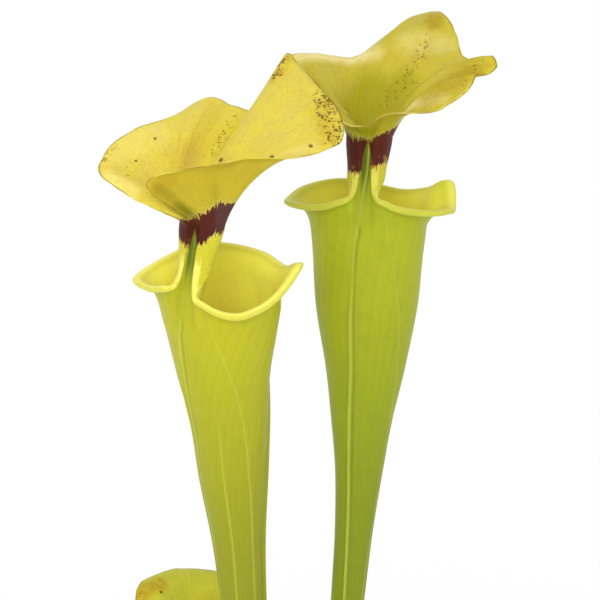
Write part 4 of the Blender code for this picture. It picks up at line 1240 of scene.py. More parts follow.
class LeafSkin:
    """A leaf's material: ribs, veins, a maroon throat, a green strip behind the neck and brown specks."""

    def __init__(self, name, settings):
        self.graph = graph = Graph(name + "_skin")
        self.settings = settings
        self.tones = {**SHARED_TONES, **LEAF_TONES[name]}
        self.marks = LEAF_MARKS[name]
        self.throat = PITCHERS[name]["throat"]
        self.where = graph.place()
        self.rim, self.upper, self.inside = graph.channel("zone")
        self.lip, self.edge_gap, _ = graph.channel("rim")
        self.strip, self.across, self.round_place = graph.channel("strip")
        self.patch, self.specks, self.shadow = graph.channel("marks")
        self.trough, self.pale, self.ochre_and_shade = graph.channel("wash")
        self.ring_x, self.ring_y, self.share = graph.channel("ring")
        self.strand_x, self.strand_y, self.height = graph.channel("strand")
        self.mottle = graph.noise(self.where, 90.0, 4.0)
        self.fine_mottle = graph.noise(self.where, 420.0)
        self.patchy = graph.span(graph.noise(self.where, 160.0), 0.3, 0.6)

    def tone(self, name):
        return srgb(self.tones[name])

    def coat(self, colour, tone, mask, strength=1.0):
        return self.graph.coat(colour, self.tones[tone], mask, strength)

    def stripes(self, x, y, count, wobble, narrow):
        """Fine veins at even turns round a ring or strand, which wander a little."""
        graph = self.graph
        phase = graph.plus(graph.times(graph.math("ARCTAN2", x, y), float(count)), wobble)
        return graph.span(graph.math("COSINE", phase), narrow, 1.0)

    def along_strands(self, round_scale, height_scale):
        """A place that runs round the neck and out along the lid's strands."""
        graph = self.graph
        across = (graph.times(part, round_scale) for part in (self.strand_x, self.strand_y))
        return graph.vector(*across, graph.times(self.height, height_scale))

    def rib_line(self, vein, shift=0.0):
        """How strongly a vein shows: 1 on its line, which may be shifted sideways, and 0 beside it."""
        graph = self.graph
        sine, cosine, strength = graph.channel(vein)
        aside = graph.math("SUBTRACT", graph.times(self.ring_x, cosine), graph.times(self.ring_y, sine))
        ahead = graph.plus(graph.times(self.ring_x, sine), graph.times(self.ring_y, cosine))
        line = graph.span(graph.apart(aside, shift), RIB_LINE, RIB_LINE * 0.15)
        return graph.times(line, graph.span(ahead, 0.0, 2.0), strength)

    def tube_skin(self, veins):
        """The tube outside, greener at its foot, with its veins, its paler lip and its inside."""
        graph = self.graph
        long_veins = graph.greater(self.rib_line("vein_second"), self.rib_line("vein_third"))
        ribs = graph.greater(self.rib_line("midrib"), graph.times(long_veins, 0.6))
        skin = graph.blend(graph.span(self.share, 0.02, 0.3), self.tone("foot"), self.tone("low"))
        skin = self.coat(skin, "top", graph.span(self.share, 0.45, 0.98))
        skin = self.coat(skin, "vein", veins, 0.08)
        skin = self.coat(skin, "shade", graph.span(self.mottle, 0.45, 0.7), 0.25)
        # Painted shade in the groove beside the raised midrib.
        skin = self.coat(skin, "vein", self.rib_line("midrib", BESIDE_MIDRIB), 0.5)
        skin = self.coat(skin, "rib", ribs, 0.75)
        rolled_out = graph.times(graph.span(self.lip, 0.82, 1.0), 0.45)
        lip_top = graph.greater(graph.span(self.inside, 0.0, 0.15), rolled_out)
        skin = self.coat(skin, "lip", graph.times(lip_top, graph.span(self.lip, 0.7, 0.9)))
        inner = graph.blend(graph.span(self.edge_gap, 60.0, 5.0), self.tone("deep"), self.tone("mouth"))
        return graph.blend(graph.times(self.inside, graph.span(self.lip, 0.97, 0.8)), skin, inner)

    def lid_veins(self):
        """Main veins that spread over the lid, and the finer net between them."""
        graph = self.graph
        wobble = graph.times(graph.noise(self.where, 45.0, 2.0), 3.0)
        main = self.stripes(self.strand_x, self.strand_y, self.settings.lid_veins, wobble, 0.75)
        net = graph.cells(self.along_strands(26.0, 0.32), 1.0, "DISTANCE_TO_EDGE")
        return graph.greater(main, graph.times(graph.span(net, 0.09, 0.01), 0.6))

    def lid_face(self, face, veins):
        """One face of the lid, mottled between two tones, with its veins."""
        graph = self.graph
        skin = graph.blend(graph.span(self.mottle, 0.3, 0.7), self.tone(face), self.tone(face + "_pale"))
        return self.coat(skin, face + "_vein", veins, 0.08)

    def neck_skin(self):
        """The neck: the lip's tone at its foot and on the rolled flaps, greener beside the strip."""
        graph = self.graph
        around = graph.apart(self.round_place)
        skin = graph.blend(graph.span(self.height, -34.0, -28.0), self.tone("lip"), self.tone("neck"))
        flap_roll = graph.span(graph.apart(around, 0.6), 0.2, 0.1)
        skin = self.coat(skin, "lip", graph.times(flap_roll, graph.span(self.height, -12.0, -20.0)))
        by_strip = graph.span(around, 0.5, 0.3)
        return self.coat(skin, "top", graph.times(by_strip, graph.span(self.height, -8.0, -15.0)))

    def washed(self, blade):
        """Broad washes over the lid, and fine ochre grain between them.
        The trough washes are painted shading, the ochre washes are partly painted shade and the shadow
        washes are painted shade.
        """
        graph = self.graph
        grain = graph.times(graph.span(graph.noise(self.where, 900.0, 2.0), 0.52, 0.7), self.patchy)
        blade = self.coat(blade, "ochre_and_shade", grain, 0.5)
        # Painted shading in the troughs: darker on the right and small lids, lighter on the left lid's fold.
        blade = self.coat(blade, "trough", self.trough)
        pale = graph.times(self.pale, graph.plus(graph.times(self.patchy, 0.5), 0.4))
        blade = self.coat(blade, "pale", pale)
        # The ochre washes: the lid's own tint, and painted shade on the right lid's upturned near flap.
        ochre_and_shade = graph.times(self.ochre_and_shade, graph.plus(graph.times(self.patchy, 0.6), 0.4))
        blade = self.coat(blade, "ochre_and_shade", ochre_and_shade)
        return self.coat(blade, "shadow", self.shadow)

    def margin(self, blade):
        """The lid's edge: painted highlight and crease shade where rolled, and browned along its line."""
        graph, edge_gap = self.graph, self.edge_gap
        # Painted highlight on the rolled margin, then painted shade in the crease behind it.
        blade = self.coat(blade, "rolled_highlight", graph.times(self.rim, graph.span(edge_gap, 1.9, 1.3)), 0.7)
        crease_shade = graph.span(graph.apart(edge_gap, 2.3), 0.8, 0.1)
        blade = self.coat(blade, "shadow", graph.times(crease_shade, self.rim), 0.5)
        browned = graph.span(graph.noise(self.where, 70.0), 0.35, 0.6)
        return self.coat(blade, "edge", graph.times(graph.span(edge_gap, 1.2, 0.4), browned), 0.85)

    def maroon_patch(self, blade):
        """The maroon throat: toothed and pale along its bounds, blotched where it thins out at its foot.
        A painted sheen lies on its sides, away from the strip.
        """
        graph = self.graph
        teeth = graph.noise(self.along_strands(24.0, 0.1), 1.0, 2.0, 0.6)
        ragged = graph.plus(graph.about_zero(teeth, 11.0), graph.about_zero(self.fine_mottle, 5.0))
        depth = graph.plus(self.patch, ragged)
        blade = self.coat(blade, "tooth", graph.span(depth, -1.8, -0.6), 0.22)
        around = graph.apart(self.round_place)
        maroon = graph.blend(graph.span(self.mottle, 0.35, 0.7), self.tone("maroon"), self.tone("maroon_red"))
        maroon = self.coat(maroon, "maroon_red", graph.span(around, 0.75, 0.45))
        # Painted sheen on the neck's sides, away from the green strip.
        maroon = self.coat(maroon, "maroon_sheen", graph.span(around, 0.78, 1.02))
        blotch = graph.span(graph.cells(self.where, 330.0), 0.45, 0.3)
        blotch = graph.times(blotch, graph.span(depth, 7.0, 1.5), graph.span(self.height, -4.0, -9.0))
        maroon = self.coat(maroon, "blotch", blotch, 0.9)
        return graph.blend(graph.span(depth, -0.1, 0.3), blade, maroon)

    def green_strip(self, blade):
        """The green strip in the groove behind the neck, with a light line, pointed at its top.
        A line of painted shade runs along the groove's edge near the throat.
        """
        graph, across, height = self.graph, self.across, self.height
        lower = graph.span(height, -16.0, -34.0)
        line_top = 0.8
        line_place = graph.plus(line_top, graph.times(lower, self.marks["line_foot"] - line_top))
        light_line = graph.span(graph.apart(across, line_place), 0.75, 0.2)
        # Painted shade along the groove's edge, beside the strip.
        groove_edge_shade = graph.span(graph.apart(across, -1.7), 0.6, 0.1)
        groove_edge_shade = graph.times(groove_edge_shade, graph.span(height, -14.0, -6.0))
        skin = graph.blend(lower, self.tone("strip"), self.tone("top"))
        skin = self.coat(skin, "strip_light", light_line, self.marks["line_strength"])
        skin = self.coat(skin, "speck", groove_edge_shade, 0.75)
        pointed = graph.times(graph.span(height, -10.0, 0.0), 2.0)
        width = graph.span(graph.plus(graph.apart(across), pointed), 2.6, 1.6)
        mask = graph.times(graph.span(self.strip, 0.1, 0.4), width, graph.span(height, 1.0, -2.0))
        return graph.blend(mask, blade, skin)

    def speckled(self, colour):
        """Fine dark dots and browning where the leaf is marked so, and its few larger spots."""
        graph = self.graph
        dot_noise = graph.noise(self.where, 300.0, 2.0)
        dot_reach = graph.times(self.specks, graph.span(dot_noise, 0.3, 0.56), 0.56)
        dots = graph.span(graph.math("SUBTRACT", dot_reach, graph.cells(self.where, 700.0)), 0.0, 0.1)
        colour = self.coat(colour, "speck", dots, 0.8)
        colour = self.coat(colour, "edge", graph.times(self.specks, graph.span(dot_noise, 0.4, 0.65)), 0.22)
        ragged = graph.about_zero(self.fine_mottle, 1.2 * MM)
        for *place, reach in self.marks["spots"]:
            spot = tuple((own + from_throat) * MM for own, from_throat in zip(self.throat, place))
            gap = graph.add("ShaderNodeVectorMath", {0: self.where, 1: spot}, "Value", operation="DISTANCE")
            mask = graph.span(graph.plus(gap, ragged), reach * MM, 0.45 * reach * MM)
            colour = self.coat(colour, "speck", mask, 0.75)
        return colour

    def material(self):
        """The whole leaf's material."""
        graph = self.graph
        wobble = graph.times(graph.noise(self.where, 30.0, 2.0), 1.6)
        tube_veins = self.stripes(self.ring_x, self.ring_y, self.settings.tube_veins, wobble, 0.35)
        lid_veins = self.lid_veins()
        under = self.lid_face("under", lid_veins)
        under = graph.blend(graph.span(self.height, 0.0, 5.0), self.neck_skin(), under)
        blade = graph.blend(self.upper, under, self.lid_face("lid", lid_veins))
        for layer in (self.washed, self.margin, self.maroon_patch, self.green_strip):
            blade = layer(blade)
        strand = graph.vector(self.strand_x, self.strand_y, 0.0)
        strand = graph.add("ShaderNodeVectorMath", {0: strand}, "Value", operation="LENGTH")
        off_tube = graph.span(strand, 0.05, 0.95)
        colour = self.speckled(graph.blend(off_tube, self.tube_skin(tube_veins), blade))
        tube_relief = graph.plus(graph.times(tube_veins, 0.5), graph.times(self.fine_mottle, 0.25))
        lid_relief = graph.plus(graph.times(lid_veins, 0.7), graph.times(self.fine_mottle, 0.3))
        reliefs = {0: off_tube, 2: tube_relief, 3: lid_relief}
        relief = graph.add("ShaderNodeMix", reliefs, data_type="FLOAT")
        normal = graph.bump(relief, self.settings.vein_strength, 0.4 * MM)
        roughness = graph.plus(0.36, graph.times(self.mottle, 0.16))
        return graph.finish(
            colour,
            roughness,
            normal,
            Subsurface_Weight=0.75,
            Subsurface_Scale=0.0035,
            Subsurface_Radius=(1.0, 0.85, 0.3),
            Specular_IOR_Level=0.1,
        )


def pot_material(settings):
    """Moulded plastic: dark, a little chalky, with faint turning lines and rubbed dust."""
    graph = Graph("pot_plastic")
    where = graph.place()
    _, _, height = graph.axes(where)
    cloud = graph.noise(where, 22.0, 4.0)
    grain = graph.noise(where, 900.0, 2.0)
    dust = graph.noise(where, 160.0, 5.0, 0.65)
    colour = graph.coat(tuple(settings.pot_colour), "45484A", graph.span(cloud, 0.3, 0.7))
    colour = graph.coat(colour, "7A6C58", graph.span(dust, 0.5, 0.75), 0.35)
    colour = graph.coat(colour, "6A5A46", graph.span(height, 0.02, 0.0), 0.3)
    lines = graph.math("SINE", graph.times(height, 5200.0))
    relief = graph.plus(graph.times(lines, 0.15), graph.times(grain, 0.6))
    roughness = graph.plus(0.42, graph.times(dust, 0.25))
    return graph.finish(colour, roughness, graph.bump(relief, 0.25, 0.0002))


def soil_material():
    """Moist peat: nearly black to brown crumbs with a few pale fibres."""
    graph = Graph("peat")
    where = graph.place()
    broad = graph.noise(where, 60.0, 5.0)
    grain = graph.noise(where, 700.0, 4.0, 0.7)
    crumb = graph.cells(where, 420.0)
    colour = graph.coat(srgb("2A1D14"), "4A3423", graph.span(broad, 0.3, 0.75))
    colour = graph.coat(colour, "6B4F35", graph.span(grain, 0.5, 0.75), 0.6)
    colour = graph.coat(colour, "160F0A", graph.span(crumb, 0.25, 0.7), 0.55)
    relief = graph.plus(graph.times(grain, 0.6), graph.times(crumb, -0.8))
    roughness = graph.math("SUBTRACT", 0.95, graph.times(broad, 0.25))
    return graph.finish(colour, roughness, graph.bump(relief, 0.8, 0.0012))


def perlite_material():
    """White puffed grains, pitted and a little stained."""
    graph = Graph("perlite")
    where = graph.place()
    pits = graph.cells(where, 1500.0)
    colour = graph.coat(srgb("E6E2D8"), "B9A98F", graph.span(graph.noise(where, 260.0, 4.0), 0.45, 0.75))
    colour = graph.coat(colour, "9A8E7C", graph.span(pits, 0.3, 0.1), 0.3)
    return graph.finish(colour, 0.9, graph.bump(pits, 0.5, 0.0005))


def moss_material():
    """Small bright leaves, yellower at their tips."""
    graph = Graph("moss")
    where = graph.place()
    fleck = graph.noise(where, 900.0, 2.0)
    colour = graph.coat(srgb("4E6A1E"), "8FA63A", graph.span(graph.noise(where, 80.0), 0.3, 0.7))
    colour = graph.coat(colour, "B9BC5A", graph.span(fleck, 0.5, 0.7), 0.5)
    normal = graph.bump(fleck, 0.3, 0.0003)
    return graph.finish(colour, 0.7, normal, Subsurface_Weight=0.1, Subsurface_Scale=0.001)


def root_material():
    """Ringed rootstock: red-brown skin with paler scars and dark cracks."""
    graph = Graph("rootstock_skin")
    where = graph.place()
    along, _, _ = graph.axes(where)
    broad = graph.noise(where, 70.0, 5.0)
    grain = graph.noise(where, 500.0, 4.0, 0.65)
    bands = graph.math("SINE", graph.plus(graph.times(along, 900.0), graph.times(broad, 5.0)))
    colour = graph.coat(srgb("5A3020"), "7C4A2C", graph.span(broad, 0.3, 0.7))
    colour = graph.coat(colour, "A6784A", graph.span(bands, 0.5, 1.0), 0.4)
    colour = graph.coat(colour, "2E1A10", graph.span(grain, 0.55, 0.75), 0.5)
    relief = graph.plus(graph.times(grain, 0.7), graph.times(bands, 0.3))
    return graph.finish(colour, 0.75, graph.bump(relief, 0.6, 0.0008))


def scale_material():
    """Papery old leaf bases: tan with darker veins lengthwise."""
    graph = Graph("papery_scale")
    where = graph.place()
    x, y, z = graph.axes(where)
    fibre = graph.noise(graph.vector(x, y, graph.times(z, 0.08)), 1400.0)
    colour = graph.coat(srgb("8A5A34"), "B98E58", graph.span(graph.noise(where, 120.0, 4.0), 0.3, 0.7))
    colour = graph.coat(colour, "5A3420", graph.span(fibre, 0.45, 0.7), 0.6)
    return graph.finish(colour, 0.7, graph.bump(fibre, 0.5, 0.0004))


def floor_material(settings):
    """Pale matt floor with a trace of unevenness."""
    graph = Graph("pale_floor")
    white = tuple(settings.floor_colour)
    darker = tuple(0.985 * part for part in white)
    cloud = graph.noise(graph.place(), 0.8)
    return graph.finish(graph.blend(graph.span(cloud, 0.2, 0.8), white, darker), 0.9)


def stack(name, bottom, rings, top):
    """One closed object from rings of points that are stacked between two end points."""
    sides = len(rings[0])
    points = np.concatenate([[bottom], *rings, [top]])
    last = 1 + (len(rings) - 1) * sides
    faces = []
    for side in range(sides):
        after = (side + 1) % sides
        faces.append((0, 1 + after, 1 + side))
        for ring in range(len(rings) - 1):
            low, high = 1 + ring * sides, 1 + (ring + 1) * sides
            faces.append((low + side, low + after, high + after, high + side))
        faces.append((last + side, last + after, len(points) - 1))
    return mesh_object(name, points, faces)


def lathe(name, profile, sides):
    """Turns an outline round Z; the outline starts and ends on the axis and runs up the outside first."""
    profile = np.array(profile)
    angles = 2 * math.pi * np.arange(sides) / sides
    rings = []
    for radius, height in profile[1:-1]:
        ring = [radius * np.cos(angles), radius * np.sin(angles), np.full(sides, height)]
        rings.append(np.stack(ring, axis=1))
    return stack(name, (0.0, 0.0, profile[0][1]), rings, (0.0, 0.0, profile[-1][1]))


def rounded(profile, radii):
    """Rounds an outline's corners, each with its own radius."""
    result = [profile[0]]
    for number in range(1, len(profile) - 1):
        corner = np.array(profile[number], float)
        before = np.array(profile[number - 1], float) - corner
        after = np.array(profile[number + 1], float) - corner
        reach = min(radii[number], 0.45 * np.linalg.norm(before), 0.45 * np.linalg.norm(after))
        if reach <= 0.0:
            result.append(tuple(corner))
            continue
        start, end = corner + unit(before) * reach, corner + unit(after) * reach
        for step in range(EDGE_STEPS + 1):
            t = step / EDGE_STEPS
            result.append(tuple((1 - t) ** 2 * start + 2 * (1 - t) * t * corner + t**2 * end))
    result.append(profile[-1])
    return result


def cut_holes(target, cutters):
    """Takes the cutters out of the target and removes them."""
    for cutter in cutters:
        step = target.modifiers.new("cut", "BOOLEAN")
        step.operation = "DIFFERENCE"
        step.solver = "EXACT"
        step.object = cutter
        bpy.context.view_layer.update()
        shown = target.evaluated_get(bpy.context.evaluated_depsgraph_get())
        cut_mesh = bpy.data.meshes.new_from_object(shown)
        target.modifiers.clear()
        target.data = cut_mesh
        bpy.data.objects.remove(cutter, do_unlink=True)
    target.data.shade_smooth()
    target.data.set_sharp_from_angle(angle=SHARP_EDGE)


def pot_radius(height):
    """The pot's outer radius below the rim band."""
    return POT_FOOT_RADIUS + (POT_TOP_RADIUS - POT_FOOT_RADIUS) * height / POT_HEIGHT


def soil_radius(height):
    """The radius of the soil's side, just clear of the pot's wall."""
    return pot_radius(height) - POT_WALL - 2 * GAP


def build_pot(name):
    """The tapered pot with its rim band, rounded edges and drain holes."""
    band_foot = POT_HEIGHT - RIM_HEIGHT
    profile = [
        (0.0, 0.0),
        (POT_FOOT_RADIUS, 0.0),
        (pot_radius(band_foot), band_foot),
        (pot_radius(band_foot) + RIM_STAND, band_foot),
        (POT_TOP_RADIUS + RIM_STAND, POT_HEIGHT),
        (pot_radius(POT_HEIGHT) - POT_WALL, POT_HEIGHT),
        (pot_radius(POT_FLOOR) - POT_WALL, POT_FLOOR),
        (0.0, POT_FLOOR),
    ]
    pot = lathe(name, rounded(profile, POT_ROUNDING), POT_SIDES)
    low, high = -DRAIN_OVERSHOOT, POT_FLOOR + DRAIN_OVERSHOOT
    outline = [(0.0, low), (DRAIN_RADIUS, low), (DRAIN_RADIUS, high), (0.0, high)]
    drains = []
    for number in range(DRAINS):
        angle = 2 * math.pi * (number + DRAIN_TURN) / DRAINS
        drain = lathe("drain", outline, DRAIN_SIDES)
        drain.location = (DRAIN_CIRCLE * math.cos(angle) * MM, DRAIN_CIRCLE * math.sin(angle) * MM, 0.0)
        drains.append(drain)
    cut_holes(pot, drains)
    return pot


def soil_wave(x, y):
    """How far the soil stands above or below its level, in millimetres."""
    broad = np.sin(x * 0.21 + 1.0) * np.cos(y * 0.17) + 0.6 * np.sin(x * 0.43 - y * 0.38)
    fine = 0.5 * np.sin(x * 1.1 + y * 0.7) * np.sin(y * 1.3 - x * 0.4)
    grit = 0.35 * np.sin(x * 2.9 + 1.0) * np.sin(y * 3.3) + 0.2 * np.sin(x * 5.1 - y * 4.3)
    return 0.8 * broad + 0.6 * fine + 0.5 * grit


def build_soil(name):
    """The soil's body, with a finely crumbled top that flattens out towards the pot."""
    floor = POT_FLOOR + GAP
    top_radius = soil_radius(SOIL_LEVEL)
    profile = [(0.0, floor), (soil_radius(floor), floor), (top_radius, SOIL_LEVEL - SOIL_EDGE_DROP)]
    profile += [(top_radius * (1 - ring / SOIL_RINGS), SOIL_LEVEL) for ring in range(SOIL_RINGS)]
    profile.append((0.0, SOIL_LEVEL))
    made = lathe(name, profile, SOIL_SIDES)
    points = np.zeros(len(made.data.vertices) * 3)
    made.data.vertices.foreach_get("co", points)
    points = points.reshape(-1, 3) / MM
    x, y = points[:, 0], points[:, 1]
    on_top = points[:, 2] > SOIL_LEVEL - SOIL_EDGE_DROP / 2
    inside = smooth_step((top_radius - np.hypot(x, y)) / SOIL_EDGE)
    points[:, 2] += np.where(on_top, soil_wave(x, y) * inside, 0.0)
    made.data.vertices.foreach_set("co", (points * MM).ravel())
    made.data.update()
    return made


def soil_places(random, count, keep_off):
    """Random places on the soil, clear of the rootstock by the given distance."""
    top_radius = soil_radius(SOIL_LEVEL) - LOOSE_EDGE
    found = []
    while len(found) < count:
        x, y = random.uniform(-top_radius, top_radius, 2)
        root_x = (x - ROOT_CENTRE[0]) / (ROOT_HALF_LENGTH + keep_off)
        root_y = (y - ROOT_CENTRE[1]) / (ROOT_HALF_WIDTH + keep_off)
        if math.hypot(x, y) < top_radius and math.hypot(root_x, root_y) > 1.0:
            found.append((x, y))
    found = np.array(found)
    return np.column_stack([found, SOIL_LEVEL + soil_wave(found[:, 0], found[:, 1])])


def ball(detail):
    """Points and faces of a unit ball."""
    mesh = bmesh.new()
    bmesh.ops.create_icosphere(mesh, subdivisions=detail, radius=1.0)
    points = np.array([vertex.co[:] for vertex in mesh.verts])
    faces = np.array([[vertex.index for vertex in face.verts] for face in mesh.faces])
    mesh.free()
    return points, faces


def random_turns(random, count):
    """Random turns, evenly spread."""
    w, x, y, z = unit(random.normal(size=(count, 4))).T
    rows = [
        [1 - 2 * (y * y + z * z), 2 * (x * y - z * w), 2 * (x * z + y * w)],
        [2 * (x * y + z * w), 1 - 2 * (x * x + z * z), 2 * (y * z - x * w)],
        [2 * (x * z - y * w), 2 * (y * z + x * w), 1 - 2 * (x * x + y * y)],
    ]
    return np.transpose(np.array(rows), (2, 0, 1))


def scatter(name, shape, places, sizes, random, roughness):
    """Many lumps of one kind in one object; sizes holds three half-lengths for each."""
    base, faces = shape
    count = len(places)
    lumps = base[None] * (1.0 + roughness * random.normal(size=(count, len(base), 1)))
    lumps = lumps * sizes[:, None, :]
    lumps = np.einsum("nij,nkj->nki", random_turns(random, count), lumps) + places[:, None, :]
    index = faces[None] + (np.arange(count) * len(base))[:, None, None]
    return mesh_object(name, lumps.reshape(-1, 3), index.reshape(-1, faces.shape[1]).tolist())


def build_crumbs(name, random, count):
    """Loose crumbs of peat of many sizes."""
    places = soil_places(random, count, 1.0)
    sizes = random.uniform(*CRUMB_HALF_SIDES, (count, 3)) * random.uniform(*CRUMB_SIZES, (count, 1))
    return scatter(name, ball(1), places, sizes, random, CRUMB_ROUGHNESS)


def build_perlite(name, random, count, grain_size):
    """Puffed grains of perlite, of about one size."""
    places = soil_places(random, count, 2.0)
    sizes = grain_size / 2 * random.uniform(*GRAIN_SIZES, (count, 3))
    return scatter(name, ball(2), places, sizes, random, GRAIN_ROUGHNESS)


def build_moss(name, random, count):
    """Cushions of small pointed leaves that stand out all round."""
    cushions = soil_places(random, CUSHIONS, 5.0)
    reach = random.uniform(*CUSHION_REACH, len(cushions))
    chosen = random.integers(0, len(cushions), count)
    turn = random.uniform(0.0, 2 * math.pi, count)
    out = np.sqrt(random.uniform(0.0, 1.0, count))
    x = cushions[chosen, 0] + reach[chosen] * out * np.cos(turn)
    y = cushions[chosen, 1] + reach[chosen] * out * np.sin(turn)
    swell = CUSHION_SWELL * reach[chosen] * np.sqrt(np.clip(1.0 - out**2, 0.0, 1.0))
    keep = np.hypot(x, y) < pot_radius(SOIL_LEVEL) - POT_WALL - MOSS_EDGE
    x, y, swell, out, turn = (part[keep] for part in (x, y, swell, out, turn))
    foot = np.column_stack([x, y, SOIL_LEVEL + soil_wave(x, y) + swell - MOSS_SINK])
    lean = np.column_stack([np.cos(turn) * out, np.sin(turn) * out, 0.9 - 0.4 * out])
    lean = unit(lean + MOSS_SPREAD * random.normal(size=lean.shape))
    lean[:, 2] = np.abs(lean[:, 2])
    side = unit(np.cross(lean, random.normal(size=lean.shape)))
    fold = np.cross(lean, side)
    length = random.uniform(*MOSS_LENGTH, (len(foot), 1))
    width = MOSS_HALF_WIDTH * length
    widest = foot + lean * length * MOSS_WIDEST
    tip = foot + lean * length
    keel = widest + fold * width * MOSS_FOLD
    corners = [foot, widest + side * width, tip, widest - side * width, keel]
    points = np.stack(corners, axis=1).reshape(-1, 3)
    first = np.arange(len(foot))[:, None] * len(corners)
    faces = np.concatenate([first + np.array(triangle) for triangle in MOSS_LEAF])
    return mesh_object(name, points, faces.tolist())


def build_rootstock(name):
    """The rootstock with fine rings and knobs, bent as in the solids."""
    centre = np.array(ROOT_CENTRE)
    phases = np.random.default_rng(ROOT_SEED).uniform(0.0, 6.28, 6)
    angles = 2 * math.pi * np.arange(ROOT_SIDES) / ROOT_SIDES
    rings = []
    for ring in range(1, ROOT_SECTIONS):
        share = -math.cos(math.pi * ring / ROOT_SECTIONS)
        girth = (1.0 - abs(share) ** ROOT_TAPER) ** 0.5
        wave = (0.5 + 0.5 * math.cos(ROOT_RINGS * math.pi * share)) * (1.0 - share**2)
        rough = 0.012 * np.sin(7 * angles + phases[0] + 9 * share)
        rough += 0.01 * np.sin(13 * angles + phases[1] - 15 * share)
        rough += 0.008 * np.sin(60 * share + 3 * np.sin(2 * angles + phases[2]))
        size = girth * (1.0 - ROOT_RING_DEPTH / ROOT_HALF_WIDTH * wave) * (1.0 + rough * girth - 0.01)
        y = ROOT_HALF_WIDTH * size * np.cos(angles) + ROOT_BEND * math.sin(2.0 * share)
        z = ROOT_HALF_HEIGHT * size * np.sin(angles)
        rings.append(centre + np.stack([np.full(ROOT_SIDES, share * ROOT_HALF_LENGTH), y, z], axis=1))
    end = np.array([ROOT_HALF_LENGTH, 0.0, 0.0])
    return stack(name, centre - end, rings, centre + end)


def papery_scale(tube, middle, random):
    """Points of one scale's outer face and then its inner face, row by row up the tube."""
    low = SCALE_FOOT + random.uniform(*SCALE_SHIFT)
    height = random.uniform(*SCALE_HEIGHT)
    spread = random.uniform(*SCALE_HALF_ANGLE)
    across = 2.0 * np.arange(SCALE_COLUMNS + 1) / SCALE_COLUMNS - 1.0
    points = []
    for lift in (SCALE_WALL, 0.0):
        for row in range(SCALE_ROWS + 1):
            share = row / SCALE_ROWS
            centre, (right, away, _), radius, _ = tube.at(low + height * share)
            width = spread * (1.0 - share**2.2) ** 0.8 + SCALE_TIP
            flare = SCALE_GAP + SCALE_FLARE * share**3
            out = radius + flare + lift + SCALE_CUP * across**2
            points.append(centre + spokes(right, away, middle + across * width) * out[:, None])
    return np.concatenate(points)


def sheet_faces(first, rows, columns):
    """Faces of a closed sheet whose outer and inner points come one after the other."""
    across = columns + 1
    size = (rows + 1) * across
    faces = []
    for row in range(rows):
        for column in range(columns):
            a = first + row * across + column
            b, c, d = a + 1, a + across + 1, a + across
            faces.append((a, b, c, d))
            faces.append((a + size, d + size, c + size, b + size))
    rim = [first + column for column in range(across)]
    rim += [first + row * across + columns for row in range(1, rows + 1)]
    rim += [first + rows * across + column for column in range(columns - 1, -1, -1)]
    rim += [first + row * across for row in range(rows - 1, 0, -1)]
    for here, there in zip(rim, rim[1:] + rim[:1]):
        faces.append((here, here + size, there + size, there))
    return faces


def build_scales(name):
    """Pointed papery scales that hug each leaf's foot above the rootstock."""
    random = np.random.default_rng(SCALE_SEED)
    points, faces = [], []
    for spec in PITCHERS.values():
        tube = Tube(spec)
        for number in range(SCALES_PER_LEAF):
            turn = number + random.uniform(-SCALE_TURN, SCALE_TURN)
            middle = 2 * math.pi * turn / SCALES_PER_LEAF
            first = len(points)
            points.extend(papery_scale(tube, middle, random))
            faces += sheet_faces(first, SCALE_ROWS, SCALE_COLUMNS)
    return mesh_object(name, points, faces)


def adopt(made, material, replaced=()):
    """Gives a piece its material and ties it to the plant."""
    made.data.materials.clear()
    made.data.materials.append(material)
    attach(made, "root")
    for node in replaced:
        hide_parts(node)


def set_up_floor(settings):
    """A wide pale floor under the pot."""
    half = settings.floor_size / MM / 2
    corners = [(-half, -half, 0.0), (half, -half, 0.0), (half, half, 0.0), (-half, half, 0.0)]
    floor = mesh_object("floor", corners, [(0, 1, 2, 3)])
    floor.data.materials.append(floor_material(settings))


def set_up_lights(scene, settings):
    """Even light from all sides, and a soft sun."""
    world = bpy.data.worlds.new("studio_sky")
    world.use_nodes = True
    background = world.node_tree.nodes["Background"]
    background.inputs["Color"].default_value = (1.0, 1.0, 1.0, 1.0)
    background.inputs["Strength"].default_value = settings.sky_strength
    scene.world = world
    key = bpy.data.objects.new("key_light", bpy.data.lights.new("key_light", "SUN"))
    key.data.energy = settings.key_strength
    key.data.angle = KEY_SOFTNESS
    key.rotation_euler = (KEY_TILT, 0.0, KEY_TURN)
    scene.collection.objects.link(key)


def set_up_camera(scene, settings):
    """A camera that looks a little down on the leaves' backs."""
    data = bpy.data.cameras.new("view")
    camera = bpy.data.objects.new("view", data)
    scene.collection.objects.link(camera)
    elevation = settings.camera_elevation
    direction = Vector((0.0, math.cos(elevation), -math.sin(elevation)))
    camera.location = Vector(CAMERA_AIM) - direction * settings.camera_distance
    camera.rotation_euler = direction.to_track_quat("-Z", "Y").to_euler()
    data.sensor_width = SENSOR_WIDTH
    data.lens = SENSOR_WIDTH * settings.camera_distance / settings.view_width
    data.clip_end = VIEW_DEPTH
    scene.camera = camera
    scene.view_settings.view_transform = "Standard"


class LeafSettings(bpy.types.PropertyGroup):
    """How the leaves look close up."""

    tube_veins: IntProperty(
        name="Tube veins", description="Fine veins round a tube", default=30, min=8, max=80
    )
    lid_veins: IntProperty(
        name="Lid veins", description="Main veins that spread over a lid", default=44, min=8, max=120
    )
    vein_strength: FloatProperty(
        name="Vein strength", description="How far veins stand out", default=0.5,
        min=0.0, max=1.0, subtype="FACTOR",
    )


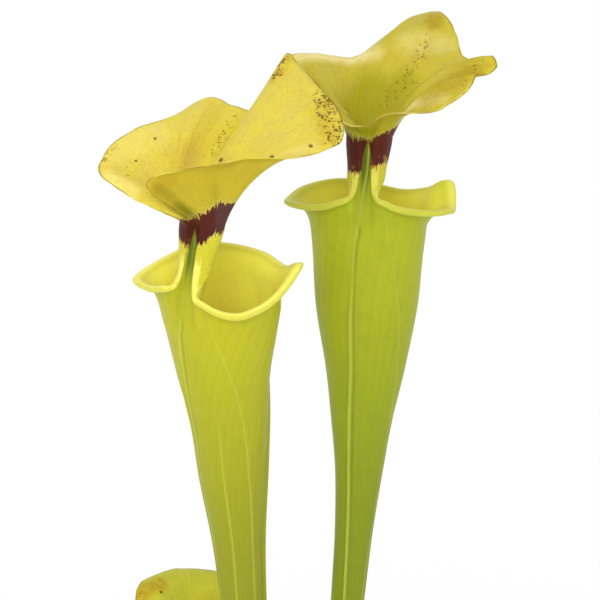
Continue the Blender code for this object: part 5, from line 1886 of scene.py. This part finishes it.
class PottingSettings(bpy.types.PropertyGroup):
    """The pot and what lies in it."""

    pot_colour: FloatVectorProperty(
        name="Pot colour", description="Colour of the moulded pot", default=srgb("383B3C"),
        min=0.0, max=1.0, subtype="COLOR",
    )
    perlite_grains: IntProperty(
        name="Perlite grains", description="White grains on the soil", default=260, min=1, max=1000
    )
    crumbs: IntProperty(
        name="Peat crumbs", description="Loose crumbs on the soil", default=1500, min=1, max=4000
    )
    moss_leaves: IntProperty(
        name="Moss leaves", description="Small leaves of moss on the soil", default=5200, min=1, max=20000
    )
    grain_size: FloatProperty(
        name="Grain size", description="Typical length of a perlite grain", default=0.0024,
        min=0.0005, max=0.006, unit="LENGTH",
    )


class StageSettings(bpy.types.PropertyGroup):
    """Floor, lights and camera."""

    floor_colour: FloatVectorProperty(
        name="Floor colour", description="Colour of the studio floor", default=(0.97, 0.97, 0.97),
        min=0.0, max=1.0, subtype="COLOR",
    )
    floor_size: FloatProperty(
        name="Floor size", description="Width of the floor", default=40.0, unit="LENGTH"
    )
    camera_distance: FloatProperty(
        name="Camera distance", description="From the camera to the leaves' middle", default=2.4,
        unit="LENGTH",
    )
    camera_elevation: FloatProperty(
        name="Camera elevation", description="How far the camera looks down", default=math.radians(12.0),
        subtype="ANGLE",
    )
    view_width: FloatProperty(
        name="View width", description="Width of the picture at the leaves", default=0.300, unit="LENGTH"
    )
    sky_strength: FloatProperty(
        name="Sky strength", description="Even light from all sides", default=0.84, min=0.0
    )
    key_strength: FloatProperty(
        name="Key strength", description="Soft light from above", default=1.7, min=0.0
    )


class PITCHERPLANT_OT_pitchers(bpy.types.Operator):
    """Build the three hollow leaves with their lids"""

    bl_idname = "pitcherplant.pitchers"
    bl_label = "Build Pitchers"

    def execute(self, context):
        settings = context.scene.pitcher_leaf
        for name in PITCHERS:
            refine = SMALL_REFINE if name == "pitcher_small" else TALL_REFINE
            made = Leaf(name, refine).make(name + "_leaf")
            adopt(made, LeafSkin(name, settings).material(), (name,))
        return {"FINISHED"}


class PITCHERPLANT_OT_rootstock(bpy.types.Operator):
    """Build the ringed rootstock and the papery scales round the leaves' feet"""

    bl_idname = "pitcherplant.rootstock"
    bl_label = "Build Rootstock"

    def execute(self, context):
        adopt(build_rootstock("rootstock"), root_material(), ("rhizome",))
        adopt(build_scales("leaf_scales"), scale_material())
        return {"FINISHED"}


class PITCHERPLANT_OT_potting_mix(bpy.types.Operator):
    """Build the soil with its crumbs, perlite and moss"""

    bl_idname = "pitcherplant.potting_mix"
    bl_label = "Build Potting Mix"

    def execute(self, context):
        settings = context.scene.pitcher_potting
        random = np.random.default_rng(MIX_SEED)
        adopt(build_soil("soil"), soil_material(), ("potting_mix",))
        adopt(build_crumbs("peat_crumbs", random, settings.crumbs), soil_material())
        grains = build_perlite("perlite_grains", random, settings.perlite_grains, settings.grain_size / MM)
        adopt(grains, perlite_material())
        adopt(build_moss("moss_tufts", random, settings.moss_leaves), moss_material())
        return {"FINISHED"}


class PITCHERPLANT_OT_pot(bpy.types.Operator):
    """Build the tapered pot with its rim band and drain holes"""

    bl_idname = "pitcherplant.pot"
    bl_label = "Build Pot"

    def execute(self, context):
        adopt(build_pot("plain_pot"), pot_material(context.scene.pitcher_potting), ("pot",))
        return {"FINISHED"}


class PITCHERPLANT_OT_stage(bpy.types.Operator):
    """Set up the floor, the lights and the camera"""

    bl_idname = "pitcherplant.stage"
    bl_label = "Set Up Stage"

    def execute(self, context):
        settings = context.scene.pitcher_stage
        set_up_floor(settings)
        set_up_lights(context.scene, settings)
        set_up_camera(context.scene, settings)
        return {"FINISHED"}


OPERATORS = (
    PITCHERPLANT_OT_pitchers,
    PITCHERPLANT_OT_rootstock,
    PITCHERPLANT_OT_potting_mix,
    PITCHERPLANT_OT_pot,
    PITCHERPLANT_OT_stage,
)
GROUPS = {
    "pitcher_leaf": LeafSettings,
    "pitcher_potting": PottingSettings,
    "pitcher_stage": StageSettings,
}


class PITCHERPLANT_PT_panel(bpy.types.Panel):
    """Sizes, colours and build steps of the plant"""

    bl_idname = "PITCHERPLANT_PT_panel"
    bl_label = "Pitcher Plant"
    bl_space_type = "VIEW_3D"
    bl_region_type = "UI"
    bl_category = "Pitcher Plant"

    def draw(self, context):
        layout = self.layout
        for group in GROUPS:
            settings = getattr(context.scene, group)
            box = layout.box()
            for name in settings.__annotations__:
                box.prop(settings, name)
        for operator in OPERATORS:
            layout.operator(operator.bl_idname)


def register():
    for group in (*GROUPS.values(), *OPERATORS, PITCHERPLANT_PT_panel):
        bpy.utils.register_class(group)
    for name, group in GROUPS.items():
        setattr(bpy.types.Scene, name, PointerProperty(type=group))


def unregister():
    for name in GROUPS:
        delattr(bpy.types.Scene, name)
    for group in reversed((*GROUPS.values(), *OPERATORS, PITCHERPLANT_PT_panel)):
        bpy.utils.unregister_class(group)


def main():
    """Builds every piece and the stage."""
    register()
    for operator in OPERATORS:
        group, call = operator.bl_idname.split(".")
        result = getattr(getattr(bpy.ops, group), call)()
        if "FINISHED" not in result:
            raise RuntimeError(f"{operator.bl_label} didn't finish")
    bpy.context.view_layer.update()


if __name__ == "__main__":
    main()
